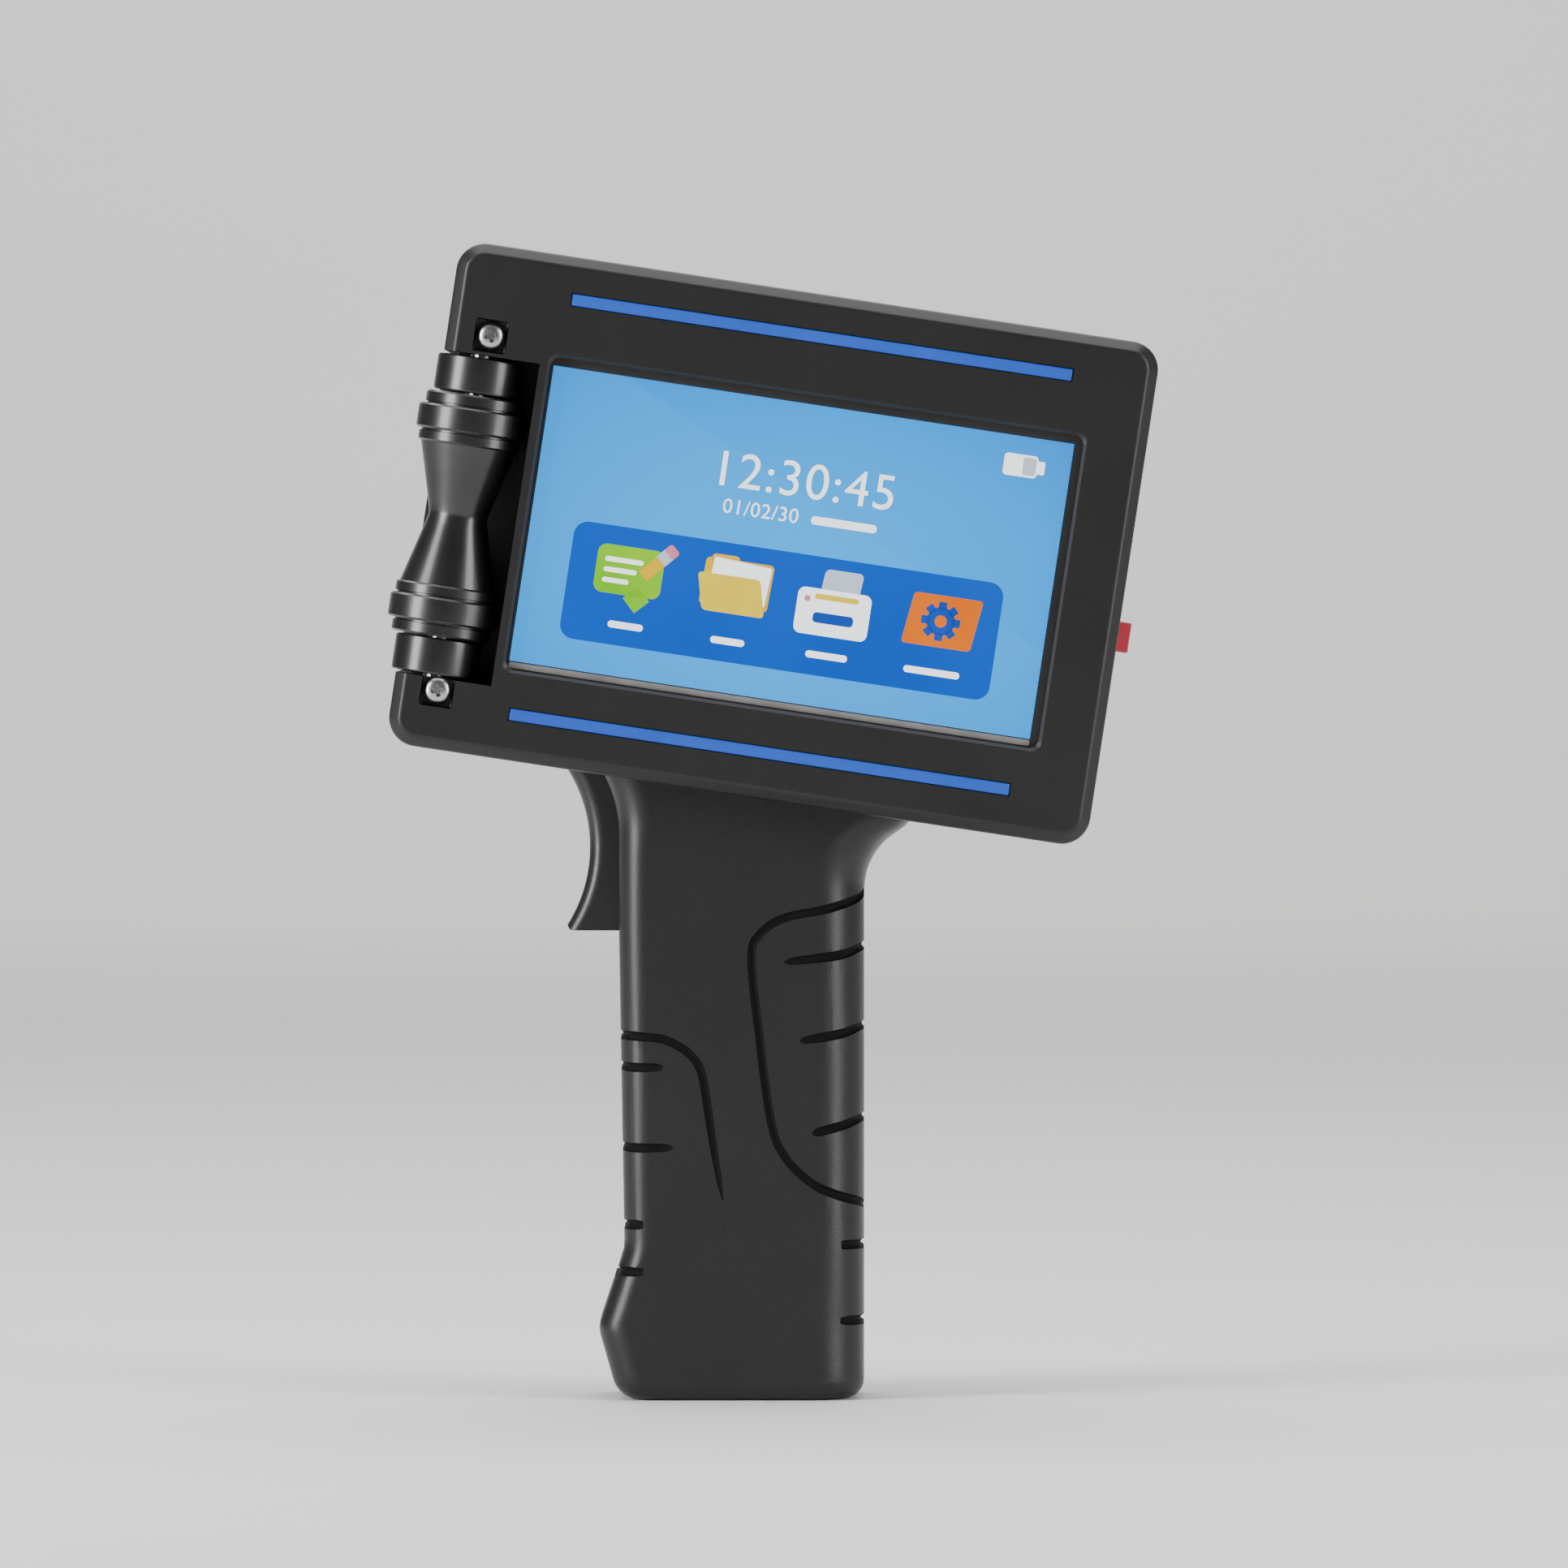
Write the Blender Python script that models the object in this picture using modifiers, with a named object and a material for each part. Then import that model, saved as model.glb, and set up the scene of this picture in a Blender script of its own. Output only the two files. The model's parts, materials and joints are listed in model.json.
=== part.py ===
"""Handheld inkjet coder: a tilted screen head on a pistol grip.

World frame: X to the right and Z up as seen from the screen side, Y away from the screen.
The origin is the middle of the grip's flat base. The head has a frame of its own, turned
about Y, and every piece of the head is placed in that frame.
"""
import math

import bmesh
import bpy
from mathutils import Matrix, Vector

MM = 0.001

# ---------------------------------------------------------------- driving dimensions
CLEARANCE = 0.3 * MM          # gap between pieces that touch or fit
WALL = 2.2 * MM               # moulded walls
ROOTED = 0.4 * MM             # how far a boss runs into the wall it stands on
SHY = 0.2 * MM                # bosses and ribs stop short of the parting plane
FAR = 20 * MM                 # how far a cutter runs past a face

HEAD_WIDTH = 128.0 * MM
HEAD_HEIGHT = 91.7 * MM
HEAD_DEPTH = 56.0 * MM
HEAD_TILT = math.radians(8.6)
HEAD_CENTRE_X = 5.8 * MM
HEAD_CENTRE_Z = 155.5 * MM
HEAD_CORNER = 5.2 * MM        # corner radius seen from the screen side
HEAD_RIM = 2.2 * MM           # rounding of the front and rear rims
BEZEL_DEPTH = 8.0 * MM        # how far the front cover reaches back
PARTING_Y = 0.0               # plane where the two housing halves meet

SCREEN_WIDTH = 95.04 * MM     # lit area of a 4.3 inch display
SCREEN_HEIGHT = 53.86 * MM
SCREEN_U = 3.5 * MM           # middle of the lit area in the head frame
SCREEN_W = -1.0 * MM
SCREEN_BORDER = 1.6 * MM      # dark line between the lit area and the window
SCREEN_BORDER_LEFT = 0.6 * MM
MODULE_LIP = 3.4 * MM         # how far the display runs past its window, up and down
GLASS_THICKNESS = 1.1 * MM
MODULE_THICKNESS = 3.0 * MM
BUZZER_RADIUS = 5.5 * MM
BUZZER_HEIGHT = 5.0 * MM

STRIP_LENGTH = 91.3 * MM
STRIP_WIDTH = 2.2 * MM
STRIP_DEPTH = 1.0 * MM
STRIP_U = 3.1 * MM
STRIP_TOP_W = 38.1 * MM
STRIP_BOTTOM_W = -37.5 * MM

ROLLER_INSET = 6.8 * MM       # roller axis, in from the left side of the head
ROLLER_W = -3.6 * MM
ROLLER_RADIUS = 10.0 * MM
ROLLER_WAIST = 5.35 * MM
ROLLER_LENGTH = 44.0 * MM
ROLLER_PROUD = 1.5 * MM       # how far the big rings stand out of the front face
COLLAR_RADIUS = 7.9 * MM
COLLAR_LENGTH = 6.6 * MM
AXLE_RADIUS = 2.0 * MM
AXLE_SEAT = 3.4 * MM          # depth of each axle end in its seat
BRACKET_SCREW_INSET = 8.0 * MM
POCKET_DEPTH = 2.1 * MM
POCKET_SIZE = 6.0 * MM
POCKET_GAP_UP = 0.5 * MM      # from the roller bay to the pocket above it
POCKET_GAP_DOWN = 0.9 * MM    # how far the pocket below runs into the bay's edge
AXLE_OVERRUN = 1.0 * MM       # driven axle, past the solid block below its bay
MAGNET_RADIUS = 3.2 * MM
MAGNET_THICKNESS = 1.2 * MM
ENCODER_HALF = 3.9 * MM
ENCODER_THICKNESS = 0.8 * MM

GRIP_DEPTH = 34.0 * MM
GRIP_HALF_WIDTH = 22.3 * MM
GRIP_CORNER = 5.5 * MM        # corner radius on the trigger side
GRIP_CORNER_PALM = 10.0 * MM  # corner radius on the palm side
GRIP_TOP = 117.0 * MM
GRIP_LEFT_WAIST = 1.0 * MM    # how far the left edge pulls in above the toe
TOE_HEIGHT = 13.3 * MM
TOE_TOP = 27.6 * MM
TOE_REACH = 3.8 * MM
BASE_CORNER = 3.6 * MM
FILLET_START = 92.6 * MM
FILLET_RADIUS = 12.5 * MM
NECK_START = 103.0 * MM
NECK_FLARE = 4.7 * MM

TRIGGER_WIDTH = 11.0 * MM
TRIGGER_BOTTOM = 85.1 * MM
TRIGGER_FRONT_X = -32.2 * MM
TRIGGER_BACK_X = -15.0 * MM
TRIGGER_PIVOT_X = -26.5 * MM
TRIGGER_PIVOT_Z = 119.5 * MM
TRIGGER_HUB = 4.2 * MM
TRIGGER_PIN_RADIUS = 1.5 * MM
FINGER_RADIUS = 26.6 * MM
FINGER_DEEPEST_X = -27.7 * MM
FINGER_Z = 100.3 * MM
LUG_THICKNESS = 2.7 * MM      # housing lugs that hold the trigger's pin
PIN_END = 3.6 * MM            # how far the pin runs past the trigger on each side
SPRING_Z = 108.0 * MM
SPRING_RADIUS = 2.4 * MM
SPRING_WIRE = 0.35 * MM
SPRING_TURNS = 5
SPRING_LENGTH = 8.0 * MM
SWITCH_FRONT_X = -11.0 * MM
SWITCH_BACK_X = -4.6 * MM
SWITCH_LOW_Z = 90.0 * MM
SWITCH_HIGH_Z = 102.8 * MM
SWITCH_WIDTH = 6.2 * MM
PLUNGER_SIZE = 2.4 * MM
PLUNGER_REACH = 2.6 * MM
PLUNGER_TRAVEL = 1.3 * MM
PLUNGER_ROOT = 1.0 * MM       # how far the plunger sits inside its switch

CARTRIDGE_WIDTH = 23.0 * MM
CARTRIDGE_LENGTH = 56.0 * MM
CARTRIDGE_HEIGHT = 64.0 * MM
CARTRIDGE_U = -42.0 * MM      # the end that faces the nozzle
CARTRIDGE_W = 2.0 * MM
SNOUT_WIDTH = 12.8 * MM
SNOUT_HEIGHT = 30.0 * MM
SNOUT_W = -6.0 * MM
CRADLE_WALL = 1.6 * MM
BOARD = 1.6 * MM

DOOR_WIDTH = 58.0 * MM
DOOR_HEIGHT = 72.0 * MM
DOOR_HINGE_U = 18.0 * MM
DOOR_W = 2.0 * MM
HINGE_BARREL = 1.8 * MM
HINGE_PIN = 0.75 * MM
HINGE_INSET = 2.0 * MM        # axis below the rear face
HINGE_PIN_END = 2.7 * MM      # how far the pin runs into each lug
HINGE_LUG = 3.6 * MM
NOTCH_RADIUS = 7.0 * MM

ROCKER_Y = 9.5 * MM
ROCKER_W = -7.3 * MM
ROCKER_LENGTH = 12.4 * MM
ROCKER_HEIGHT = 5.6 * MM
ROCKER_THICKNESS = 4.0 * MM
ROCKER_TILT = math.radians(8.0)
ROCKER_PROUD = 3.0 * MM
ROCKER_FRAME_RIM = 1.4 * MM
CONTACT_DEPTH = 8.0 * MM      # contact block behind the rocker's frame

USB_Y = 14.0 * MM
USB_W = 18.0 * MM
USB_THICK = 5.8 * MM
USB_TALL = 13.2 * MM
USB_DEPTH = 13.6 * MM
USB_SKIN = 0.6 * MM
JACK_Y = 14.0 * MM
JACK_W = -27.0 * MM
JACK_RADIUS = 4.0 * MM
JACK_BORE = 2.9 * MM
JACK_DEPTH = 12.0 * MM
SOCKET_SINK = 0.2 * MM        # socket faces below the housing's side

CELL_RADIUS = 9.1 * MM
CELL_LENGTH = 65.0 * MM
CELL_BASE = 8.5 * MM
HOLDER_WALL = 1.2 * MM
HOLDER_SHARE = 0.8            # width of the holder against that of both cells
LEAD_X = 6.0 * MM
LEAD_RADIUS = 0.9 * MM
CAP_THICKNESS = 3.0 * MM
CAP_SCREW_X = 9.0 * MM
BOSS_RADIUS = 3.4 * MM
POST_RADIUS = 2.2 * MM
GRIP_SCREWS = {"right": (12.0 * MM, 86.0 * MM), "left": (-13.2 * MM, 81.0 * MM)}
SCREW_SHANK = 1.3 * MM
SCREW_HEAD = 2.6 * MM
SCREW_HEAD_HEIGHT = 1.6 * MM
SCREW_HOLE = SCREW_SHANK + CLEARANCE
SCREW_SEAT = SCREW_HEAD + CLEARANCE

# ---------------------------------------------------------------- worked-out values
HALF_U = HEAD_WIDTH / 2
HALF_W = HEAD_HEIGHT / 2
FRONT_Y = -HEAD_DEPTH / 2
BACK_Y = HEAD_DEPTH / 2
BEZEL_WALL = WALL + 0.2 * MM
BEZEL_BACK = FRONT_Y + BEZEL_DEPTH
ROLLER_U = -HALF_U + ROLLER_INSET
BRACKET_SCREW_U = -HALF_U + BRACKET_SCREW_INSET
BAY_INNER_U = ROLLER_U + ROLLER_RADIUS + 0.7 * MM
BAY_TOP = ROLLER_W + ROLLER_LENGTH / 2 + COLLAR_LENGTH + 3 * CLEARANCE
BAY_BOTTOM = ROLLER_W - ROLLER_LENGTH / 2 - COLLAR_LENGTH - 3 * CLEARANCE
ROLLER_Y = HEAD_DEPTH / 2 + ROLLER_PROUD - ROLLER_RADIUS  # distance from the mid plane
BAY_MID_Y = ROLLER_Y - ROLLER_RADIUS - 0.5 * MM           # face of the bay nearest the nozzle
AXLE_DEPTH = ROLLER_RADIUS - ROLLER_PROUD - AXLE_RADIUS   # nearest side of an axle, below the face
BRACKET_SCREW_LENGTH = AXLE_DEPTH - 1.3 * MM
ENCODER_ROOM = AXLE_OVERRUN + MAGNET_THICKNESS + ENCODER_THICKNESS + 3.8 * CLEARANCE
SEAT_BLOCK = HALF_W + BAY_BOTTOM - WALL - ENCODER_ROOM    # solid plastic past each end of a bay
CHANNEL_Y = BAY_MID_Y - 1.5 * MM                          # half width of the nozzle channel
BLOCK_INNER_U = BAY_INNER_U + 1.6 * MM
BOSS_W = HALF_W - WALL - BOSS_RADIUS + ROOTED
BOSS_RIGHT_U = HALF_U - WALL - BOSS_RADIUS + ROOTED
BOSS_LEFT_U = BLOCK_INNER_U + BOSS_RADIUS + 0.5 * MM
GRIP_HALF_DEPTH = GRIP_DEPTH / 2
SPRING_END_X = TRIGGER_BACK_X + CLEARANCE + SPRING_LENGTH
WINDOW_LOW_U = SCREEN_U - SCREEN_WIDTH / 2 - SCREEN_BORDER_LEFT
WINDOW_HIGH_U = SCREEN_U + SCREEN_WIDTH / 2 + SCREEN_BORDER
WINDOW_LOW_W = SCREEN_W - SCREEN_HEIGHT / 2 - SCREEN_BORDER
WINDOW_HIGH_W = SCREEN_W + SCREEN_HEIGHT / 2 + SCREEN_BORDER

PARTS = None
CUTTERS = None


# ---------------------------------------------------------------- scene and materials
def start_scene():
    """Empty the file and make the two collections."""
    global PARTS, CUTTERS
    for old in list(bpy.data.objects):
        bpy.data.objects.remove(old, do_unlink=True)
    PARTS = bpy.data.collections.new("handheld_coder")
    CUTTERS = bpy.data.collections.new("cutters")
    for collection in (PARTS, CUTTERS):
        bpy.context.scene.collection.children.link(collection)


FINISHES = {
    "black_plastic": ((0.030, 0.030, 0.032), 0.42, 0.0),
    "gloss_black": ((0.020, 0.020, 0.022), 0.22, 0.3),
    "steel": ((0.62, 0.62, 0.64), 0.25, 1.0),
    "blue_strip": ((0.065, 0.19, 0.60), 0.40, 0.0),
    "glass": ((0.30, 0.55, 0.85), 0.08, 0.0),
    "board_green": ((0.02, 0.14, 0.06), 0.45, 0.0),
    "red_plastic": ((0.42, 0.02, 0.04), 0.35, 0.0),
    "grey_plastic": ((0.22, 0.22, 0.23), 0.50, 0.0),
    "cell_wrap": ((0.04, 0.16, 0.42), 0.35, 0.0),
    "magnet": ((0.12, 0.12, 0.13), 0.40, 0.6),
}


def paint(piece, finish):
    """Give a piece a material of its own."""
    colour, roughness, metallic = FINISHES[finish]
    material = bpy.data.materials.new(f"{piece.name}_{finish}")
    material.use_nodes = True
    shader = material.node_tree.nodes["Principled BSDF"]
    shader.inputs["Base Color"].default_value = (*colour, 1.0)
    shader.inputs["Roughness"].default_value = roughness
    shader.inputs["Metallic"].default_value = metallic
    piece.data.materials.clear()
    piece.data.materials.append(material)
    return piece


def empty_frame(name, location, turn_y=0.0):
    frame = bpy.data.objects.new(name, None)
    frame.location = location
    frame.rotation_euler = (0.0, turn_y, 0.0)
    PARTS.objects.link(frame)
    return frame


# ---------------------------------------------------------------- shape helpers
def settle(piece, name, frame, pivot, finish):
    """Name a new object, hang it on its frame and file it as a part or as a cutter."""
    piece.name = name
    piece.data.name = name
    for collection in list(piece.users_collection):
        collection.objects.unlink(piece)
    piece.location = pivot
    piece.parent = frame
    if finish is None:
        CUTTERS.objects.link(piece)
        piece.hide_render = True
        piece.display_type = "WIRE"
    else:
        PARTS.objects.link(piece)
        paint(piece, finish)
    return piece


def block(name, low, high, frame, finish=None, pivot=None, rounding=0.0, segments=2):
    """A box between two corners, with its edges rounded if asked."""
    low = Vector(low)
    high = Vector(high)
    centre = (low + high) / 2
    pivot = centre if pivot is None else Vector(pivot)
    bpy.ops.mesh.primitive_cube_add(size=1)
    piece = bpy.context.object
    size = Matrix.Diagonal((*(high - low), 1.0))
    piece.data.transform(Matrix.Translation(centre - pivot) @ size)
    settle(piece, name, frame, pivot, finish)
    if rounding:
        bevel = piece.modifiers.new("rounding", "BEVEL")
        bevel.width = rounding
        bevel.segments = segments
    return piece


def rod(name, radius, low, high, frame, finish=None, sides=24, pivot=None):
    """A cylinder from one point to another."""
    low = Vector(low)
    high = Vector(high)
    centre = (low + high) / 2
    pivot = centre if pivot is None else Vector(pivot)
    bpy.ops.mesh.primitive_cylinder_add(vertices=sides, radius=radius, depth=(high - low).length)
    piece = bpy.context.object
    turn = (high - low).to_track_quat("Z", "Y").to_matrix().to_4x4()
    piece.data.transform(Matrix.Translation(centre - pivot) @ turn)
    settle(piece, name, frame, pivot, finish)
    smooth(piece)
    return piece


def smooth(piece):
    piece.data.shade_smooth()
    piece.data.set_sharp_from_angle(angle=math.radians(35))


def turned(name, profile, frame, pivot, axis, finish=None, steps=24, closed=False):
    """Turn a profile of (radius, height) points about an axis through the pivot."""
    mesh = bpy.data.meshes.new(name)
    points = [(radius, 0.0, height) for radius, height in profile]
    edges = [(i, i + 1) for i in range(len(points) - 1)]
    if closed:
        edges.append((len(points) - 1, 0))
    mesh.from_pydata(points, edges, [])
    piece = bpy.data.objects.new(name, mesh)
    bpy.context.scene.collection.objects.link(piece)
    settle(piece, name, frame, pivot, finish)
    piece.rotation_euler = Vector(axis).to_track_quat("Z", "Y").to_euler()
    screw = piece.modifiers.new("turn", "SCREW")
    screw.steps = steps
    screw.render_steps = steps
    screw.use_merge_vertices = True
    screw.merge_threshold = 0.00001
    screw.use_smooth_shade = True
    return piece


def rounded_head(name, frame, finish=None):
    """The whole outer form of the head: rounded corners, then softened rims."""
    bm = bmesh.new()
    bmesh.ops.create_cube(bm, size=1.0)
    size = Matrix.Diagonal((HEAD_WIDTH, HEAD_DEPTH, HEAD_HEIGHT, 1.0))
    bmesh.ops.transform(bm, verts=bm.verts, matrix=size)
    corners = [e for e in bm.edges if abs(e.verts[0].co.y - e.verts[1].co.y) > HEAD_DEPTH / 2]
    bmesh.ops.bevel(bm, geom=corners, offset=HEAD_CORNER, segments=5, profile=0.5, affect="EDGES")
    flat = HEAD_DEPTH / 2 - MM
    rims = [e for e in bm.edges if all(abs(v.co.y) > flat for v in e.verts) and len(e.link_faces) == 2
            and abs(e.link_faces[0].normal.y - e.link_faces[1].normal.y) > 0.5]
    bmesh.ops.bevel(bm, geom=rims, offset=HEAD_RIM, segments=3, profile=0.5, affect="EDGES")
    bmesh.ops.triangulate(bm, faces=bm.faces)
    mesh = bpy.data.meshes.new(name)
    bm.to_mesh(mesh)
    bm.free()
    piece = bpy.data.objects.new(name, mesh)
    bpy.context.scene.collection.objects.link(piece)
    return settle(piece, name, frame, (0, 0, 0), finish)


def grip_edges(z):
    """Left and right edge of the grip, seen from the screen side, at a height."""
    left = -GRIP_HALF_WIDTH
    if z < TOE_HEIGHT:
        left -= TOE_REACH * z / TOE_HEIGHT
    elif z < TOE_TOP:
        share = (z - TOE_HEIGHT) / (TOE_TOP - TOE_HEIGHT)
        left += (TOE_REACH + GRIP_LEFT_WAIST) * share - TOE_REACH
    elif z < TRIGGER_BOTTOM:
        left += GRIP_LEFT_WAIST * (TRIGGER_BOTTOM - z) / (TRIGGER_BOTTOM - TOE_TOP)
    elif z > NECK_START:
        left -= NECK_FLARE * ((z - NECK_START) / (GRIP_TOP - NECK_START)) ** 2
    right = GRIP_HALF_WIDTH
    rise = min(max(z - FILLET_START, 0.0), FILLET_RADIUS * 0.95)
    right += FILLET_RADIUS - math.sqrt(FILLET_RADIUS ** 2 - rise ** 2)
    under = max(BASE_CORNER - z, 0.0)
    tuck = BASE_CORNER - math.sqrt(BASE_CORNER ** 2 - under ** 2)
    return left + tuck, right - tuck, tuck


def grip_stations():
    """Heights where the grip's edges change direction."""
    heights = {BASE_CORNER * (1 - math.cos(math.radians(a))) for a in (0, 30, 60, 90)}
    heights.update((TOE_HEIGHT, TOE_TOP, TRIGGER_BOTTOM, FILLET_START, NECK_START))
    heights.update(FILLET_START + FILLET_RADIUS * f for f in (0.35, 0.6, 0.8, 0.95))
    heights.add((NECK_START + GRIP_TOP) / 2)
    return heights


def grip_form(name, inset, bottom, top, frame, finish=None, straight=False):
    """Rounded rectangular sections stacked up the grip, all pulled in by the inset.

    A straight form keeps the section of the flat base all the way up.
    """
    heights = {bottom, top}
    if not straight:
        heights.update(grip_stations())
    heights = sorted(h for h in heights if bottom <= h <= top)
    bm = bmesh.new()
    rings = []
    for z in heights:
        left, right, tuck = grip_edges(0.0 if straight else z)
        half_depth = GRIP_HALF_DEPTH - inset - tuck
        ring = []
        corners = ((right, 1, -1, -90), (right, 1, 1, 0), (left, -1, 1, 90), (left, -1, -1, 180))
        for edge, side_x, side_y, start in corners:
            radius = (GRIP_CORNER_PALM if side_x > 0 else GRIP_CORNER) - inset
            centre_x = edge - side_x * (inset + radius)
            centre_y = side_y * (half_depth - radius)
            for step in range(5):
                angle = math.radians(start + 22.5 * step)
                x = centre_x + radius * math.cos(angle)
                ring.append(bm.verts.new((x, centre_y + radius * math.sin(angle), z)))
        rings.append(ring)
    count = len(rings[0])
    for lower, upper in zip(rings, rings[1:]):
        for i in range(count):
            j = (i + 1) % count
            bm.faces.new((lower[i], lower[j], upper[j], upper[i]))
    bm.faces.new(list(reversed(rings[0])))
    bm.faces.new(rings[-1])
    bmesh.ops.triangulate(bm, faces=bm.faces)
    mesh = bpy.data.meshes.new(name)
    bm.to_mesh(mesh)
    bm.free()
    piece = bpy.data.objects.new(name, mesh)
    bpy.context.scene.collection.objects.link(piece)
    return settle(piece, name, frame, (0, 0, 0), finish)


def boolean(piece, operation, others):
    for other in others:
        step = piece.modifiers.new(f"{operation.lower()}_{other.name}"[:60], "BOOLEAN")
        step.operation = operation
        step.solver = "EXACT"
        step.object = other


def cut(piece, *others):
    boolean(piece, "DIFFERENCE", others)


def join(piece, *others):
    boolean(piece, "UNION", others)


def keep(piece, *others):
    boolean(piece, "INTERSECT", others)


def screw(name, head, direction, length, frame):
    """A pan-head screw: the point where its head ends, the way it drives, its length."""
    shank = SCREW_SHANK
    profile = [
        (0.0, 0.0),
        (SCREW_HEAD * 0.75, -0.15 * MM),
        (SCREW_HEAD, -0.7 * MM),
        (SCREW_HEAD, -SCREW_HEAD_HEIGHT),
        (shank, -SCREW_HEAD_HEIGHT),
        (shank, -length + shank * 0.6),
        (0.0, -length),
    ]
    return turned(name, profile, frame, head, -Vector(direction), "steel", steps=16)


# ---------------------------------------------------------------- housing
def slab(name, low_y, high_y, frame):
    reach = 3 * HEAD_WIDTH
    return block(name, (-reach, low_y, -reach), (reach, high_y, reach), frame)


def head_hollow(head):
    """The room inside the head, which leaves solid blocks round the roller bays."""
    hollow = block("head_hollow", (-HALF_U + WALL, FRONT_Y + BEZEL_WALL, -HALF_W + WALL),
                   (HALF_U - WALL, BACK_Y - WALL, HALF_W - WALL), head)
    for side, name in ((-1, "front"), (1, "rear")):
        near = side * CHANNEL_Y
        far = side * (BACK_Y + FAR)
        low = (-HALF_U - FAR, min(near, far), BAY_BOTTOM - SEAT_BLOCK)
        high = (BLOCK_INNER_U, max(near, far), BAY_TOP + SEAT_BLOCK)
        cut(hollow, block(f"{name}_bay_block", low, high, head))
    return hollow


def roller_bay(name, side, head):
    near = side * BAY_MID_Y
    far = side * (BACK_Y + FAR)
    low = (-HALF_U - FAR, min(near, far), BAY_BOTTOM)
    high = (BAY_INNER_U, max(near, far), BAY_TOP)
    return block(f"{name}_bay", low, high, head)


def axle_seat(name, side, head, through):
    """Bore for an axle; the driven one goes on down to the encoder."""
    y = side * ROLLER_Y
    low = BAY_BOTTOM - (SEAT_BLOCK + 2 * AXLE_OVERRUN if through else AXLE_SEAT + CLEARANCE)
    high = BAY_TOP + AXLE_SEAT + CLEARANCE
    return rod(f"{name}_axle_bore", AXLE_RADIUS + CLEARANCE, (ROLLER_U, y, low), (ROLLER_U, y, high), head,
               sides=20)


def bracket_pockets(name, side, head):
    """Square pockets above and below a roller bay, each with its screw hole."""
    cutters = []
    for label, w in bracket_screw_places():
        half = POCKET_SIZE / 2
        face = side * BACK_Y
        floor = side * (BACK_Y - POCKET_DEPTH)
        low = (BRACKET_SCREW_U - half, min(face + side * FAR, floor), w - half)
        high = (BRACKET_SCREW_U + half, max(face + side * FAR, floor), w + half)
        cutters.append(block(f"{name}_{label}_pocket", low, high, head))
        end = side * (BACK_Y - BRACKET_SCREW_LENGTH - 2 * CLEARANCE)
        bottom = (BRACKET_SCREW_U, end, w)
        top = (BRACKET_SCREW_U, face, w)
        cutters.append(rod(f"{name}_{label}_hole", SCREW_HOLE, bottom, top, head, sides=16))
    return cutters


def bracket_screw_places():
    return (("upper", BAY_TOP + POCKET_SIZE / 2 + POCKET_GAP_UP),
            ("lower", BAY_BOTTOM - POCKET_SIZE / 2 + POCKET_GAP_DOWN))


def boss_places():
    return {
        "upper_left": (BOSS_LEFT_U, BOSS_W),
        "upper_right": (BOSS_RIGHT_U, BOSS_W),
        "lower_left": (BOSS_LEFT_U, -BOSS_W),
        "lower_right": (BOSS_RIGHT_U, -BOSS_W),
    }


def head_bosses(label, low_y, high_y, head):
    return [rod(f"{label}_boss_{name}", BOSS_RADIUS, (u, low_y, w), (u, high_y, w), head, sides=20)
            for name, (u, w) in boss_places().items()]


def head_screw_holes(label, low_y, high_y, head):
    return [rod(f"{label}_hole_{name}", SCREW_HOLE, (u, low_y, w), (u, high_y, w), head, sides=16)
            for name, (u, w) in boss_places().items()]


def front_bezel(head):
    """Front cover with the window, the two inlay grooves and the front roller bay."""
    bezel = rounded_head("front_bezel", head, "black_plastic")
    cut(bezel, head_hollow_cutter)
    join(bezel, *head_bosses("bezel", FRONT_Y + BEZEL_WALL - ROOTED, BEZEL_BACK + MM, head))
    join(bezel, *board_posts(head))
    keep(bezel, slab("bezel_slab", FRONT_Y - FAR, BEZEL_BACK, head))
    window = block("window", (WINDOW_LOW_U, FRONT_Y - FAR, WINDOW_LOW_W),
                   (WINDOW_HIGH_U, FRONT_Y + BEZEL_WALL + MM, WINDOW_HIGH_W), head)
    cut(bezel, window, roller_bay("bezel_front", -1, head), front_axle_bore)
    cut(bezel, *bracket_pockets("front", -1, head))
    cut(bezel, *head_screw_holes("bezel", FRONT_Y + BEZEL_WALL + ROOTED, BEZEL_BACK + FAR, head))
    for label, w in (("top", STRIP_TOP_W), ("bottom", STRIP_BOTTOM_W)):
        half_u = STRIP_LENGTH / 2 + CLEARANCE
        half_w = STRIP_WIDTH / 2 + CLEARANCE
        floor = FRONT_Y + STRIP_DEPTH + CLEARANCE
        cut(bezel, block(f"{label}_groove", (STRIP_U - half_u, FRONT_Y - FAR, w - half_w),
                         (STRIP_U + half_u, floor, w + half_w), head))
    return bezel


def board_posts(head):
    """Four posts behind the cover that the main board rests on."""
    posts = []
    for u in (BOSS_LEFT_U + 8.0 * MM, WINDOW_HIGH_U - 3.5 * MM):
        for w in (WINDOW_LOW_W - MODULE_LIP - 4.0 * MM, WINDOW_HIGH_W + MODULE_LIP + 4.0 * MM):
            name = f"board_post_{len(posts)}"
            root = (u, FRONT_Y + BEZEL_WALL - ROOTED, w)
            posts.append(rod(name, POST_RADIUS, root, (u, BEZEL_BACK - CLEARANCE, w), head, sides=16))
    return posts


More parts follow.
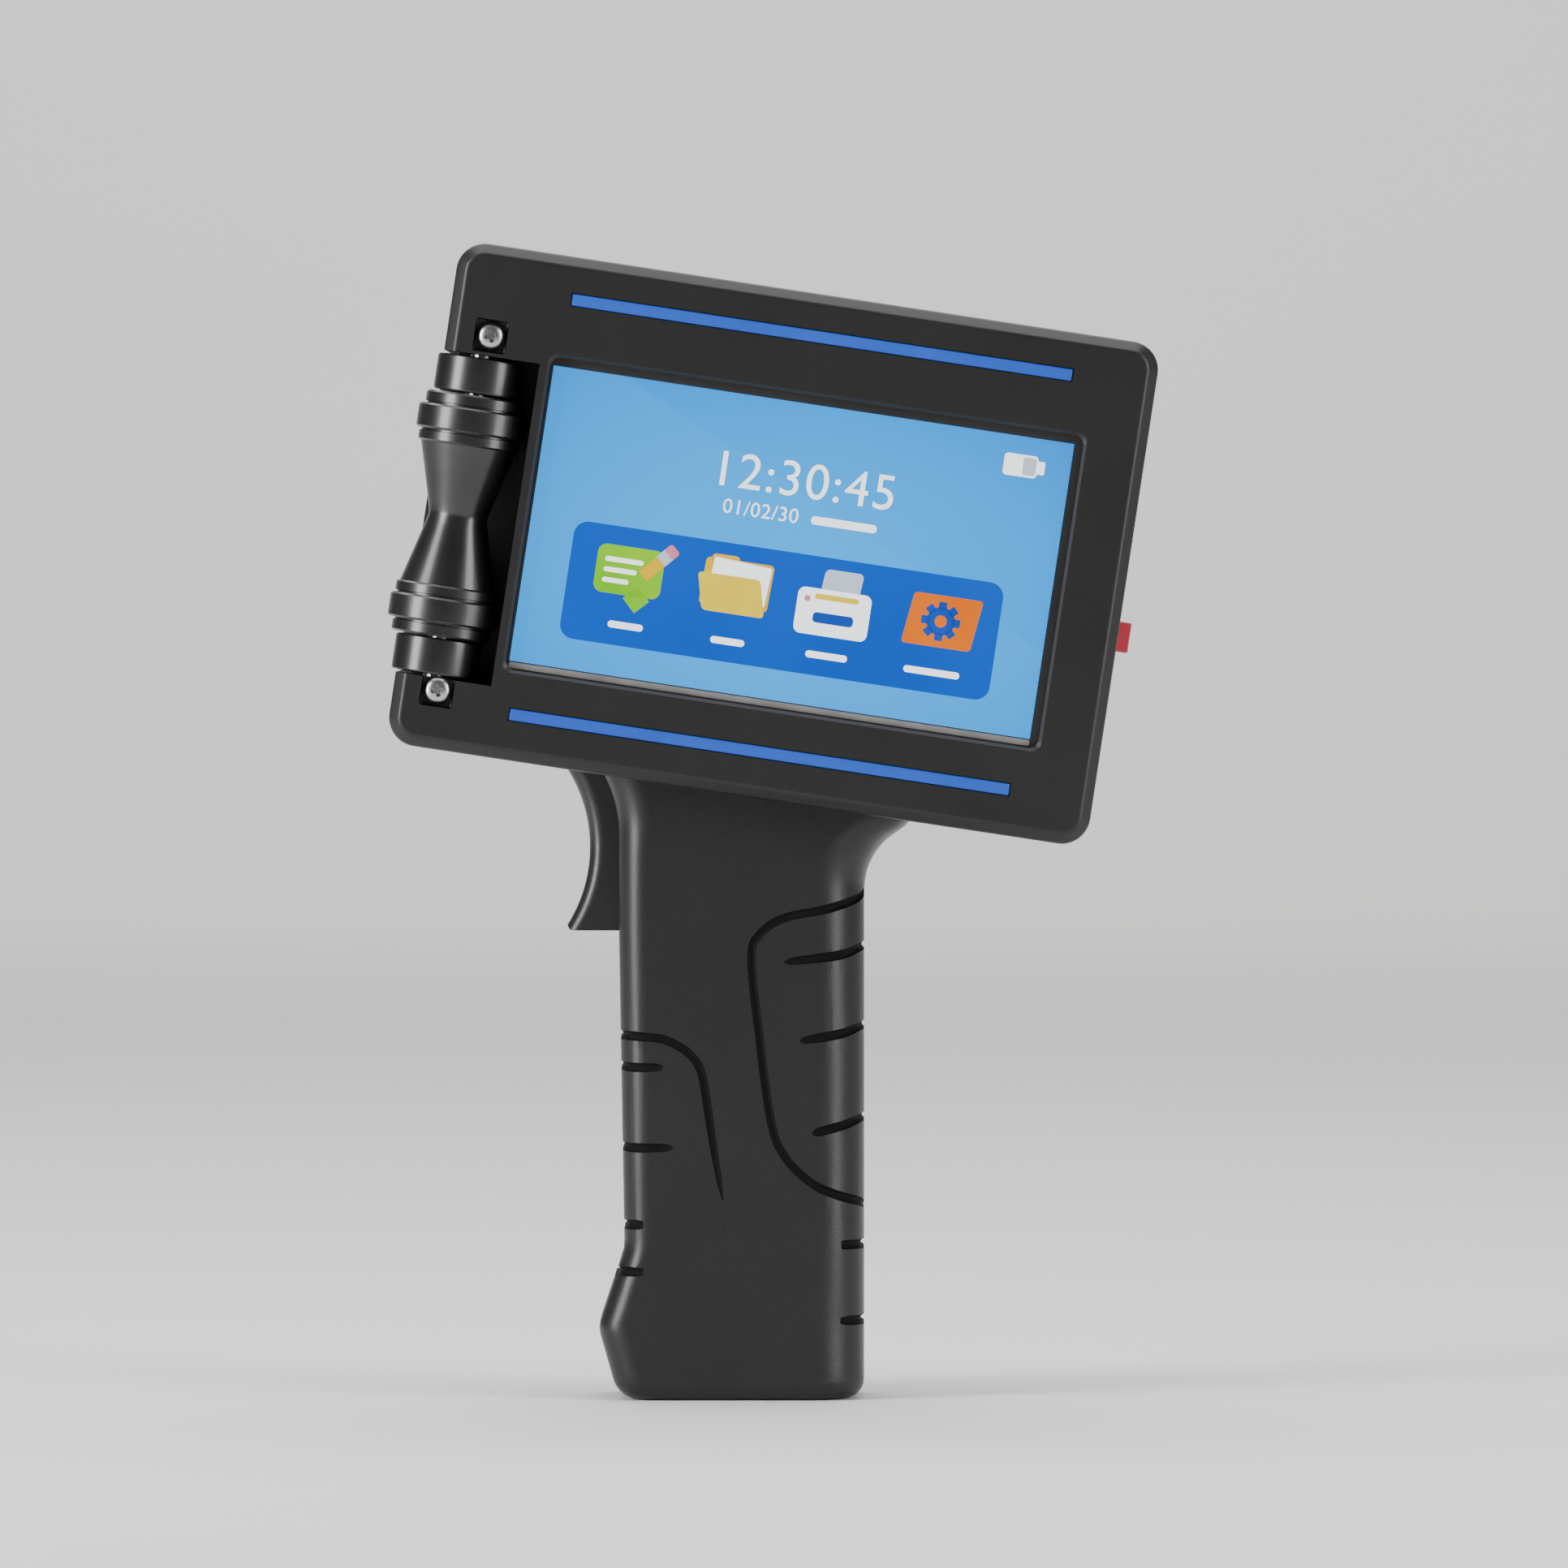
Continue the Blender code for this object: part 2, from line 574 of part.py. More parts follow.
def housing(name, side, head, world):
    """One moulded half: its share of the head's walls and half of the grip."""
    if side < 0:
        low, high = BEZEL_BACK + CLEARANCE, PARTING_Y - CLEARANCE / 2
        boss_low, boss_high = low + SHY, high - SHY
    else:
        low, high = PARTING_Y + CLEARANCE / 2, BACK_Y + FAR
        boss_low, boss_high = low + SHY, BACK_Y - WALL / 2
    shell = rounded_head(name, head, "black_plastic")
    join(shell, outer_grip_cutter)
    keep(shell, slab(f"{name}_slab", low, high, world))
    cut(shell, head_hollow_cutter, inner_grip_cutter, cap_opening)
    join(shell, *head_bosses(name, boss_low, boss_high, head))
    join(shell, *grip_features(name, side, world))
    cut(shell, roller_bay(name, side, head), front_axle_bore if side < 0 else rear_axle_bore)
    cut(shell, muzzle_opening, trigger_slot)
    cut(shell, *head_screw_holes(name, low - FAR, high + FAR, head))
    cut(shell, *grip_screw_holes(name, side, world))
    cut(shell, trigger_pin_bore)
    return shell


def grip_features(name, side, world):
    """Trigger lug, stop ribs and screw bosses moulded inside one half of the grip."""
    wall_y = side * (GRIP_HALF_DEPTH - WALL / 2)
    mid_y = side * (CLEARANCE / 2 + SHY)
    lug_in = side * (TRIGGER_WIDTH / 2 + 1.5 * MM)
    lug_out = lug_in + side * LUG_THICKNESS
    lug = block(f"{name}_trigger_lug",
                (TRIGGER_PIVOT_X - 3.4 * MM, min(lug_in, lug_out), TRIGGER_PIVOT_Z - 6.4 * MM),
                (TRIGGER_PIVOT_X + 3.4 * MM, max(lug_in, lug_out), TRIGGER_PIVOT_Z + 3.4 * MM), world)
    ribs = [lug]
    low_y = min(wall_y, mid_y)
    high_y = max(wall_y, mid_y)
    places = (("spring_rib", SPRING_END_X, SPRING_Z - 4 * MM, SPRING_Z + 4 * MM),
              ("switch_rib", SWITCH_BACK_X, SWITCH_LOW_Z - MM, SWITCH_HIGH_Z + MM))
    for label, start, low_z, high_z in places:
        x = start + CLEARANCE
        ribs.append(block(f"{name}_{label}", (x, low_y, low_z), (x + 1.6 * MM, high_y, high_z), world))
    for label, (x, z) in GRIP_SCREWS.items():
        root = (x, side * (GRIP_HALF_DEPTH - WALL + ROOTED), z)
        ribs.append(rod(f"{name}_{label}_boss", BOSS_RADIUS, root, (x, mid_y, z), world, sides=20))
    return ribs


def grip_screw_holes(name, side, world):
    """Screws go in from the rear: a counterbore and a hole behind, a blind hole in front."""
    cutters = []
    for label, (x, z) in GRIP_SCREWS.items():
        end = -(GRIP_HALF_DEPTH - WALL - MM) if side < 0 else GRIP_HALF_DEPTH + FAR
        start = (x, -side * FAR, z)
        cutters.append(rod(f"{name}_{label}_hole", SCREW_HOLE, start, (x, end, z), world, sides=16))
        if side > 0:
            seat = (x, GRIP_HALF_DEPTH - SCREW_HEAD_HEIGHT - 2 * CLEARANCE, z)
            open_end = (x, GRIP_HALF_DEPTH + FAR, z)
            cutters.append(rod(f"{name}_{label}_counterbore", SCREW_SEAT, seat, open_end, world, sides=20))
    return cutters


def rear_openings(rear, head):
    """Door opening, hinge lugs, switch, sockets and screw seats in the rear half."""
    hinge_y = BACK_Y - HINGE_INSET
    low_w = DOOR_W - DOOR_HEIGHT / 2
    high_w = DOOR_W + DOOR_HEIGHT / 2
    for label, low, high in (("lower", low_w - HINGE_LUG, low_w), ("upper", high_w, high_w + HINGE_LUG)):
        lug = block(f"hinge_lug_{label}", (DOOR_HINGE_U - 3.2 * MM, hinge_y - 3.2 * MM, low),
                    (DOOR_HINGE_U + 3.2 * MM, BACK_Y - WALL / 2, high), head)
        join(rear, lug)
    opening = block("door_opening", (DOOR_HINGE_U - DOOR_WIDTH, hinge_y - 6 * MM, low_w),
                    (DOOR_HINGE_U + HINGE_INSET + 0.5 * MM, BACK_Y + FAR, high_w), head)
    end = HINGE_PIN_END + 0.1 * MM
    bore = rod("hinge_bore", HINGE_PIN + CLEARANCE, (DOOR_HINGE_U, hinge_y, low_w - end),
               (DOOR_HINGE_U, hinge_y, high_w + end), head, sides=16)
    cut(rear, opening, bore)
    cut(rear, *bracket_pockets("rear", 1, head))
    seat = BACK_Y - SCREW_HEAD_HEIGHT - 0.6 * MM
    for name, (u, w) in boss_places().items():
        end = (u, BACK_Y + FAR, w)
        cut(rear, rod(f"rear_seat_{name}", SCREW_SEAT, (u, seat, w), end, head, sides=20))
    half_y = ROCKER_LENGTH / 2 + ROCKER_FRAME_RIM + CLEARANCE
    half_w = ROCKER_HEIGHT / 2 + ROCKER_FRAME_RIM + CLEARANCE
    cut(rear, block("rocker_opening", (HALF_U - 3 * WALL, ROCKER_Y - half_y, ROCKER_W - half_w),
                    (HALF_U + FAR, ROCKER_Y + half_y, ROCKER_W + half_w), head))
    half_y = USB_THICK / 2 + CLEARANCE
    half_w = USB_TALL / 2 + CLEARANCE
    cut(rear, block("usb_opening", (HALF_U - 3 * WALL, USB_Y - half_y, USB_W - half_w),
                    (HALF_U + FAR, USB_Y + half_y, USB_W + half_w), head))
    inner = (HALF_U - 3 * WALL, JACK_Y, JACK_W)
    cut(rear, rod("jack_opening", JACK_RADIUS + CLEARANCE, inner, (HALF_U + FAR, JACK_Y, JACK_W), head))


# ---------------------------------------------------------------- screen and boards
def display(head):
    low_u = WINDOW_LOW_U
    high_u = WINDOW_HIGH_U + MODULE_LIP
    low_w = WINDOW_LOW_W - MODULE_LIP
    high_w = WINDOW_HIGH_W + MODULE_LIP
    glass_y = FRONT_Y + BEZEL_WALL + CLEARANCE
    module_y = glass_y + GLASS_THICKNESS + CLEARANCE
    block("touch_glass", (low_u, glass_y, low_w), (high_u, glass_y + GLASS_THICKNESS, high_w), head,
          "glass")
    block("lcd_module", (low_u, module_y, low_w), (high_u, module_y + MODULE_THICKNESS, high_w), head,
          "grey_plastic")
    board_y = BEZEL_BACK + 2 * CLEARANCE
    block("main_board", (BOSS_LEFT_U + BOSS_RADIUS + 1.2 * MM, board_y, low_w - 7 * MM),
          (BOSS_RIGHT_U - BOSS_RADIUS - 1.2 * MM, board_y + BOARD, high_w + 7 * MM), head, "board_green")
    seat = Vector((SCREEN_U + 36 * MM, board_y + BOARD + CLEARANCE, SCREEN_W + 12 * MM))
    rod("buzzer", BUZZER_RADIUS, seat, seat + Vector((0, BUZZER_HEIGHT, 0)), head, "gloss_black", sides=20)
    for label, w in (("top", STRIP_TOP_W), ("bottom", STRIP_BOTTOM_W)):
        block(f"accent_strip_{label}", (STRIP_U - STRIP_LENGTH / 2, FRONT_Y, w - STRIP_WIDTH / 2),
              (STRIP_U + STRIP_LENGTH / 2, FRONT_Y + STRIP_DEPTH, w + STRIP_WIDTH / 2), head, "blue_strip")


# ---------------------------------------------------------------- guide rollers
def roller_profile(bore):
    """Hourglass with a stepped ring at each end, as a closed loop from the top rim."""
    end = ROLLER_LENGTH / 2
    step = 0.4 * MM
    ring = [
        (ROLLER_RADIUS * 0.90, end),
        (ROLLER_RADIUS * 0.90, end - 2.2 * MM),
        (ROLLER_RADIUS - step, end - 2.2 * MM),
        (ROLLER_RADIUS, end - 2.2 * MM - step),
        (ROLLER_RADIUS, end - 7.0 * MM + step),
        (ROLLER_RADIUS - step, end - 7.0 * MM),
        (ROLLER_RADIUS * 0.93, end - 7.0 * MM),
        (ROLLER_RADIUS * 0.93, end - 9.2 * MM),
        (ROLLER_RADIUS * 0.87, end - 9.2 * MM),
    ]
    span = ROLLER_RADIUS * 0.87 - ROLLER_WAIST
    hollow = []
    for share in (0.55, 0.22):
        height = (end - 9.2 * MM) * share
        hollow.append((ROLLER_WAIST + span * share ** 1.25, height))
    upper = ring + hollow
    lower = [(radius, -height) for radius, height in reversed(upper)]
    return upper + [(ROLLER_WAIST, 0.0)] + lower + [(bore, -end), (bore, end)]


def guide_roller(name, side, head):
    y = side * ROLLER_Y
    bore = AXLE_RADIUS + CLEARANCE
    pivot = (ROLLER_U, y, ROLLER_W)
    turned(f"{name}_guide_roller", roller_profile(bore), head, pivot, (0, 0, 1), "gloss_black", 28,
           closed=True)
    half = ROLLER_LENGTH / 2 + CLEARANCE
    chamfer = 0.5 * MM
    for label, sign in (("upper", 1), ("lower", -1)):
        inner = half
        outer = half + COLLAR_LENGTH
        profile = [(COLLAR_RADIUS - chamfer, outer), (COLLAR_RADIUS, outer - chamfer),
                   (COLLAR_RADIUS, inner + chamfer), (COLLAR_RADIUS - chamfer, inner), (bore, inner),
                   (bore, outer)]
        turned(f"{name}_{label}_collar", profile, head, pivot, (0, 0, sign), "gloss_black", 28,
               closed=True)
    driven = side > 0
    reach = BAY_BOTTOM - (SEAT_BLOCK + AXLE_OVERRUN if driven else AXLE_SEAT)
    rod(f"{name}_roller_axle", AXLE_RADIUS, (ROLLER_U, y, reach), (ROLLER_U, y, BAY_TOP + AXLE_SEAT),
        head, "steel", sides=20, pivot=pivot)
    for label, w in bracket_screw_places():
        head_point = (BRACKET_SCREW_U, side * (BACK_Y - 0.15 * MM), w)
        screw(f"{name}_{label}_bracket_screw", head_point, (0, -side, 0), BRACKET_SCREW_LENGTH, head)


def encoder(head):
    """Ring magnet on the driven axle's end, and the sensor board that faces it."""
    top = BAY_BOTTOM - SEAT_BLOCK - AXLE_OVERRUN - CLEARANCE
    pivot = (ROLLER_U, ROLLER_Y, ROLLER_W)
    bottom = top - MAGNET_THICKNESS
    rod("encoder_magnet", MAGNET_RADIUS, (ROLLER_U, ROLLER_Y, bottom), (ROLLER_U, ROLLER_Y, top), head,
        "magnet", sides=20, pivot=pivot)
    board_top = bottom - 2 * CLEARANCE
    half = ENCODER_HALF
    block("encoder_board", (ROLLER_U - half, ROLLER_Y - 2 * half, board_top - ENCODER_THICKNESS),
          (ROLLER_U + 2 * half, ROLLER_Y + half, board_top), head, "board_green")


# ---------------------------------------------------------------- ink system
def ink_system(head):
    low_w = CARTRIDGE_W - CARTRIDGE_HEIGHT / 2
    high_w = CARTRIDGE_W + CARTRIDGE_HEIGHT / 2
    half_y = CARTRIDGE_WIDTH / 2
    end_u = CARTRIDGE_U + CARTRIDGE_LENGTH
    cartridge = block("ink_cartridge", (CARTRIDGE_U, -half_y, low_w), (end_u, half_y, high_w), head,
                      "gloss_black", rounding=1.0 * MM)
    snout = block("snout", (-HALF_U + 0.4 * MM, -SNOUT_WIDTH / 2, SNOUT_W - SNOUT_HEIGHT / 2),
                  (CARTRIDGE_U + 2 * MM, SNOUT_WIDTH / 2, SNOUT_W + SNOUT_HEIGHT / 2), head)
    join(cartridge, snout)

    wall = CRADLE_WALL
    gap = CLEARANCE
    contact_u = end_u + gap
    cradle_u = contact_u + BOARD + gap
    cradle = block("cartridge_cradle", (CARTRIDGE_U, -half_y - gap - wall, low_w - gap - wall),
                   (cradle_u + wall, half_y, high_w + gap + wall), head, "grey_plastic")
    room = block("cradle_room", (CARTRIDGE_U - FAR, -half_y - gap, low_w - gap),
                 (cradle_u, BACK_Y, high_w + gap), head)
    cut(cradle, room)
    block("contact_board", (contact_u, -half_y, low_w + 4 * MM),
          (contact_u + BOARD, half_y - MM, high_w - 4 * MM), head, "board_green")

    top = high_w + gap + wall + 1.5 * gap
    low_u = end_u - 26 * MM
    high_u = end_u - 12 * MM
    latch = block("cartridge_latch", (low_u, 0.0, top), (high_u, half_y + 2.7 * MM, top + 2 * MM), head,
                  "grey_plastic")
    hook = block("latch_hook", (low_u + MM, half_y + 0.7 * MM, high_w - 2.2 * MM),
                 (high_u - MM, half_y + 2.3 * MM, top + MM), head)
    join(latch, hook)

    low_u = -HALF_U - 2.2 * MM
    plate = block("nozzle_plate", (low_u, -CHANNEL_Y - 0.6 * MM, SNOUT_W - SNOUT_HEIGHT / 2 - 4 * MM),
                  (-HALF_U - CLEARANCE, CHANNEL_Y + 0.6 * MM, SNOUT_W + SNOUT_HEIGHT / 2 + 4 * MM), head,
                  "steel", rounding=0.5 * MM)
    slot = block("nozzle_slot", (low_u - FAR, -3.0 * MM, SNOUT_W - 8 * MM),
                 (-HALF_U + MM, 3.0 * MM, SNOUT_W + 8 * MM), head)
    cut(plate, slot)


def cartridge_door(head):
    """Flush door over the ink bay, turning on a pin along its right edge."""
    axis_y = BACK_Y - HINGE_INSET
    pivot = (DOOR_HINGE_U, axis_y, DOOR_W)
    low_w = DOOR_W - DOOR_HEIGHT / 2 + CLEARANCE
    high_w = DOOR_W + DOOR_HEIGHT / 2 - CLEARANCE
    free_u = DOOR_HINGE_U - DOOR_WIDTH + CLEARANCE
    door = block("cartridge_door", (free_u, BACK_Y - WALL + CLEARANCE, low_w),
                 (DOOR_HINGE_U, BACK_Y, high_w), head, "black_plastic", pivot=pivot)
    low = Vector((DOOR_HINGE_U, axis_y, low_w))
    high = Vector((DOOR_HINGE_U, axis_y, high_w))
    past = Vector((0, 0, FAR))
    join(door, rod("door_barrel", HINGE_BARREL, low, high, head, sides=20))
    cut(door, rod("door_bore", HINGE_PIN + CLEARANCE, low - past, high + past, head, sides=16))
    notch_u = free_u - 3 * MM
    cut(door, rod("finger_notch", NOTCH_RADIUS, (notch_u, BACK_Y - FAR, DOOR_W),
                  (notch_u, BACK_Y + FAR, DOOR_W), head))
    end = Vector((0, 0, HINGE_PIN_END))
    rod("door_hinge_pin", HINGE_PIN, low - end, high + end, head, "steel", sides=12)


# ---------------------------------------------------------------- switch and sockets
def power_switch(head):
    reach = ROCKER_THICKNESS / 2 * math.cos(ROCKER_TILT) + ROCKER_LENGTH / 2 * math.sin(ROCKER_TILT)
    centre = Vector((HALF_U + ROCKER_PROUD - reach, ROCKER_Y, ROCKER_W))
    half = Vector((ROCKER_THICKNESS, ROCKER_LENGTH, ROCKER_HEIGHT)) / 2
    rocker = block("power_rocker", centre - half, centre + half, head, "red_plastic", rounding=0.5 * MM)
    rocker.rotation_euler = (0.0, 0.0, ROCKER_TILT)
    gap = 2 * CLEARANCE
    outer = Vector((0, ROCKER_LENGTH / 2 + ROCKER_FRAME_RIM, ROCKER_HEIGHT / 2 + ROCKER_FRAME_RIM))
    inner = Vector((0, ROCKER_LENGTH / 2 + gap, ROCKER_HEIGHT / 2 + CLEARANCE))
    front = Vector((HALF_U + 0.5 * MM, ROCKER_Y, ROCKER_W))
    back = Vector((centre.x - reach - 2 * CLEARANCE, ROCKER_Y, ROCKER_W))
    frame = block("rocker_frame", back - outer, front + outer, head, "black_plastic")
    past = Vector((FAR, 0, 0))
    cut(frame, block("rocker_room", back - inner - past, front + inner + past, head))
    block("rocker_contact_block", back - outer - Vector((CONTACT_DEPTH, -MM, 0)),
          back + outer - Vector((CLEARANCE, MM, 0)), head, "grey_plastic")


def sockets(head):
    half = Vector((0, USB_THICK / 2, USB_TALL / 2))
    face = HALF_U - SOCKET_SINK
    front = Vector((face, USB_Y, USB_W))
    back = front - Vector((USB_DEPTH, 0, 0))
    usb = block("usb_port", back - half, front + half, head, "steel")
    room = half - Vector((0, USB_SKIN, USB_SKIN))
    past = Vector((FAR, 0, 0))
    cut(usb, block("usb_room", back + Vector((3 * MM, 0, 0)) - room, front + room + past, head))
    tongue = Vector((0, 0.9 * MM, 5.0 * MM))
    root = back + Vector((2 * MM, 0, 0))
    tip = front - Vector((1.2 * MM, 0, 0))
    join(usb, block("usb_tongue", root - tongue, tip + tongue, head))

    mouth = Vector((face, JACK_Y, JACK_W))
    end = mouth - Vector((JACK_DEPTH, 0, 0))
    jack = rod("dc_jack", JACK_RADIUS, end, mouth, head, "gloss_black")
    cut(jack, rod("jack_room", JACK_BORE, end + Vector((3 * MM, 0, 0)), mouth + past, head))
    root = end + Vector((2 * MM, 0, 0))
    join(jack, rod("jack_pin", 1.0 * MM, root, mouth - Vector((MM, 0, 0)), head, sides=12))


# ---------------------------------------------------------------- trigger and its switch
def trigger_group(world):
    pivot = (TRIGGER_PIVOT_X, 0.0, TRIGGER_PIVOT_Z)
    half = TRIGGER_WIDTH / 2
    trigger = block("trigger", (TRIGGER_FRONT_X, -half, TRIGGER_BOTTOM),
                    (TRIGGER_BACK_X, half, TRIGGER_PIVOT_Z - 2 * MM), world, "black_plastic", pivot=pivot,
                    rounding=0.9 * MM)
    centre_x = FINGER_DEEPEST_X - FINGER_RADIUS
    cut(trigger, rod("finger_hollow", FINGER_RADIUS, (centre_x, -FAR, FINGER_Z), (centre_x, FAR, FINGER_Z),
                     world, sides=96))
    axis = Vector(pivot)
    hub_end = Vector((0, half - 0.5 * MM, 0))
    join(trigger, rod("trigger_hub", TRIGGER_HUB, axis - hub_end, axis + hub_end, world))
    past = Vector((0, FAR, 0))
    bore = TRIGGER_PIN_RADIUS + CLEARANCE
    cut(trigger, rod("trigger_bore", bore, axis - past, axis + past, world, sides=20))
    pin_end = Vector((0, half + PIN_END, 0))
    rod("trigger_pin", TRIGGER_PIN_RADIUS, axis - pin_end, axis + pin_end, world, "steel", sides=20)
    spring(world)
    switch = block("trigger_switch", (SWITCH_FRONT_X, -SWITCH_WIDTH / 2, SWITCH_LOW_Z),
                   (SWITCH_BACK_X, SWITCH_WIDTH / 2, SWITCH_HIGH_Z), world, "gloss_black",
                   rounding=0.4 * MM)
    middle = (SWITCH_LOW_Z + SWITCH_HIGH_Z) / 2
    tip = SWITCH_FRONT_X - PLUNGER_REACH
    half = PLUNGER_SIZE / 2
    root = SWITCH_FRONT_X + PLUNGER_ROOT
    block("switch_plunger", (tip, -half, middle - half), (root, half, middle + half), world, "red_plastic")
    room = half + CLEARANCE
    cut(switch, block("plunger_room", (SWITCH_FRONT_X - FAR, -room, middle - room),
                      (root + PLUNGER_TRAVEL + CLEARANCE, room, middle + room), world))


def spring(world):
    """Return spring behind the trigger, a coil along X with a point every 36 degrees."""
    curve = bpy.data.curves.new("trigger_spring", "CURVE")
    curve.dimensions = "3D"
    curve.bevel_depth = SPRING_WIRE
    curve.bevel_resolution = 1
    curve.use_fill_caps = True
    line = curve.splines.new("POLY")
    count = SPRING_TURNS * 10 + 1
    line.points.add(count - 1)
    travel = SPRING_LENGTH - 2 * SPRING_WIRE - 2 * CLEARANCE
    start = TRIGGER_BACK_X + SPRING_WIRE + CLEARANCE
    for i, point in enumerate(line.points):
        angle = math.tau * i / 10
        x = start + travel * i / (count - 1)
        point.co = (x, SPRING_RADIUS * math.cos(angle), SPRING_Z + SPRING_RADIUS * math.sin(angle), 1.0)
    piece = bpy.data.objects.new("trigger_spring", curve)
    bpy.context.scene.collection.objects.link(piece)
    return settle(piece, "trigger_spring", world, (0, 0, 0), "steel")


# ---------------------------------------------------------------- power pack and base
def power_pack(world):
    offset = CELL_RADIUS + CLEARANCE
    for label, side in (("left", -1), ("right", 1)):
        rod(f"battery_cell_{label}", CELL_RADIUS, (side * offset, 0, CELL_BASE),
            (side * offset, 0, CELL_BASE + CELL_LENGTH), world, "cell_wrap")
    half_x = 2 * CELL_RADIUS + 2 * CLEARANCE
    back = CELL_RADIUS + CLEARANCE
    wall = HOLDER_WALL
    reach = half_x * HOLDER_SHARE
    holder_low = CELL_BASE - CLEARANCE
    holder_high = CELL_BASE + CELL_LENGTH + CLEARANCE
    holder = block("battery_holder", (-reach, -back - wall, holder_low - wall),
                   (reach, 4 * MM, holder_high + wall), world, "grey_plastic")
    cut(holder, block("holder_room", (-half_x - FAR, -back, holder_low),
                      (half_x + FAR, FAR, holder_high), world))
    board_low = holder_high + wall + CLEARANCE
    block("battery_board", (-reach, -back, board_low), (reach, back, board_low + BOARD), world,
          "board_green")
    lead(world, board_low + BOARD)
    cap = grip_form("base_cap", WALL + CLEARANCE, 0.0, CAP_THICKNESS, world, "black_plastic", straight=True)
    seat = SCREW_HEAD_HEIGHT + 0.4 * MM
    for label, x in (("left", -CAP_SCREW_X), ("right", CAP_SCREW_X)):
        cut(cap, rod(f"cap_hole_{label}", SCREW_HOLE, (x, 0, -FAR), (x, 0, FAR), world, sides=16))
        cut(cap, rod(f"cap_counterbore_{label}", SCREW_SEAT, (x, 0, -FAR), (x, 0, seat), world, sides=20))
        length = holder_low - wall - 3 * CLEARANCE
        screw(f"base_screw_{label}", (x, 0, 0.3 * MM), (0, 0, 1), length, world)


def lead(world, start_z):
    """Insulated pair from the battery board up to the main board, as one round lead."""
    curve = bpy.data.curves.new("battery_lead", "CURVE")
    curve.dimensions = "3D"
    curve.bevel_depth = LEAD_RADIUS
    curve.bevel_resolution = 2
    curve.use_fill_caps = True
    line = curve.splines.new("POLY")
    board_y = BEZEL_BACK + 3 * CLEARANCE + BOARD + LEAD_RADIUS
    end_z = GRIP_TOP + 2.5 * MM
    count = 15
    line.points.add(count - 1)
    for i, point in enumerate(line.points):
        share = i / (count - 1)
        z = start_z + CLEARANCE + (end_z - start_z) * share
        point.co = (LEAD_X, board_y * share ** 4, z, 1.0)
    piece = bpy.data.objects.new("battery_lead", curve)
    bpy.context.scene.collection.objects.link(piece)
    return settle(piece, "battery_lead", world, (0, 0, 0), "gloss_black")


def housing_screws(head, world):
    length = HEAD_DEPTH - BEZEL_WALL - 5.0 * MM
    for name, (u, w) in boss_places().items():
        screw(f"housing_screw_{name}", (u, BACK_Y - 0.4 * MM, w), (0, -1, 0), length, head)
    for label, (x, z) in GRIP_SCREWS.items():
        head_point = (x, GRIP_HALF_DEPTH - 0.4 * MM, z)
        screw(f"grip_screw_{label}", head_point, (0, -1, 0), GRIP_DEPTH - 7 * MM, world)


# ---------------------------------------------------------------- assembly
start_scene()
world_frame = empty_frame("grip_frame", (0.0, 0.0, 0.0))
head_frame = empty_frame("head_frame", (HEAD_CENTRE_X, 0.0, HEAD_CENTRE_Z), HEAD_TILT)

head_hollow_cutter = head_hollow(head_frame)
outer_grip_cutter = grip_form("outer_grip", 0.0, 0.0, GRIP_TOP, world_frame)
inner_grip_cutter = grip_form("inner_grip", WALL, CAP_THICKNESS + 2 * CLEARANCE, GRIP_TOP + 2 * MM,
                              world_frame)
cap_opening = grip_form("cap_opening", WALL, -FAR, CAP_THICKNESS + 2 * MM, world_frame, straight=True)
front_axle_bore = axle_seat("front", -1, head_frame, through=False)
rear_axle_bore = axle_seat("rear", 1, head_frame, through=True)
muzzle_opening = block("muzzle_opening", (-HALF_U - FAR, -CHANNEL_Y, SNOUT_W - SNOUT_HEIGHT / 2 - MM),
                       (-HALF_U + WALL + MM, CHANNEL_Y, SNOUT_W + SNOUT_HEIGHT / 2 + MM), head_frame)
slot_half = TRIGGER_WIDTH / 2 + 2 * CLEARANCE
trigger_slot = block("trigger_slot", (TRIGGER_FRONT_X - 2.0 * MM, -slot_half, TRIGGER_BOTTOM - 1.0 * MM),
                     (TRIGGER_BACK_X - 2.0 * MM, slot_half, TRIGGER_PIVOT_Z - MM), world_frame)
pin_reach = Vector((0, TRIGGER_WIDTH / 2 + PIN_END + CLEARANCE, 0))
pin_middle = Vector((TRIGGER_PIVOT_X, 0, TRIGGER_PIVOT_Z))
trigger_pin_bore = rod("trigger_pin_bore", TRIGGER_PIN_RADIUS + CLEARANCE, pin_middle - pin_reach,
                       pin_middle + pin_reach, world_frame, sides=20)

front_bezel(head_frame)
housing("front_housing", -1, head_frame, world_frame)
rear_openings(housing("rear_housing", 1, head_frame, world_frame), head_frame)
display(head_frame)
for roller_name, roller_side in (("front", -1), ("rear", 1)):
    guide_roller(roller_name, roller_side, head_frame)
encoder(head_frame)
ink_system(head_frame)
cartridge_door(head_frame)
power_switch(head_frame)
sockets(head_frame)
trigger_group(world_frame)
power_pack(world_frame)
housing_screws(head_frame, world_frame)
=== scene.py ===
"""Looks of the handheld inkjet coder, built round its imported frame.

Pieces of the head are modelled in the head's own frame (u to the right along the screen, y away
from the screen, w up along the screen) and then put in place; pieces of the grip are modelled
where they stand.
"""
import json
import math

import bmesh
import bpy
from mathutils import Matrix, Vector


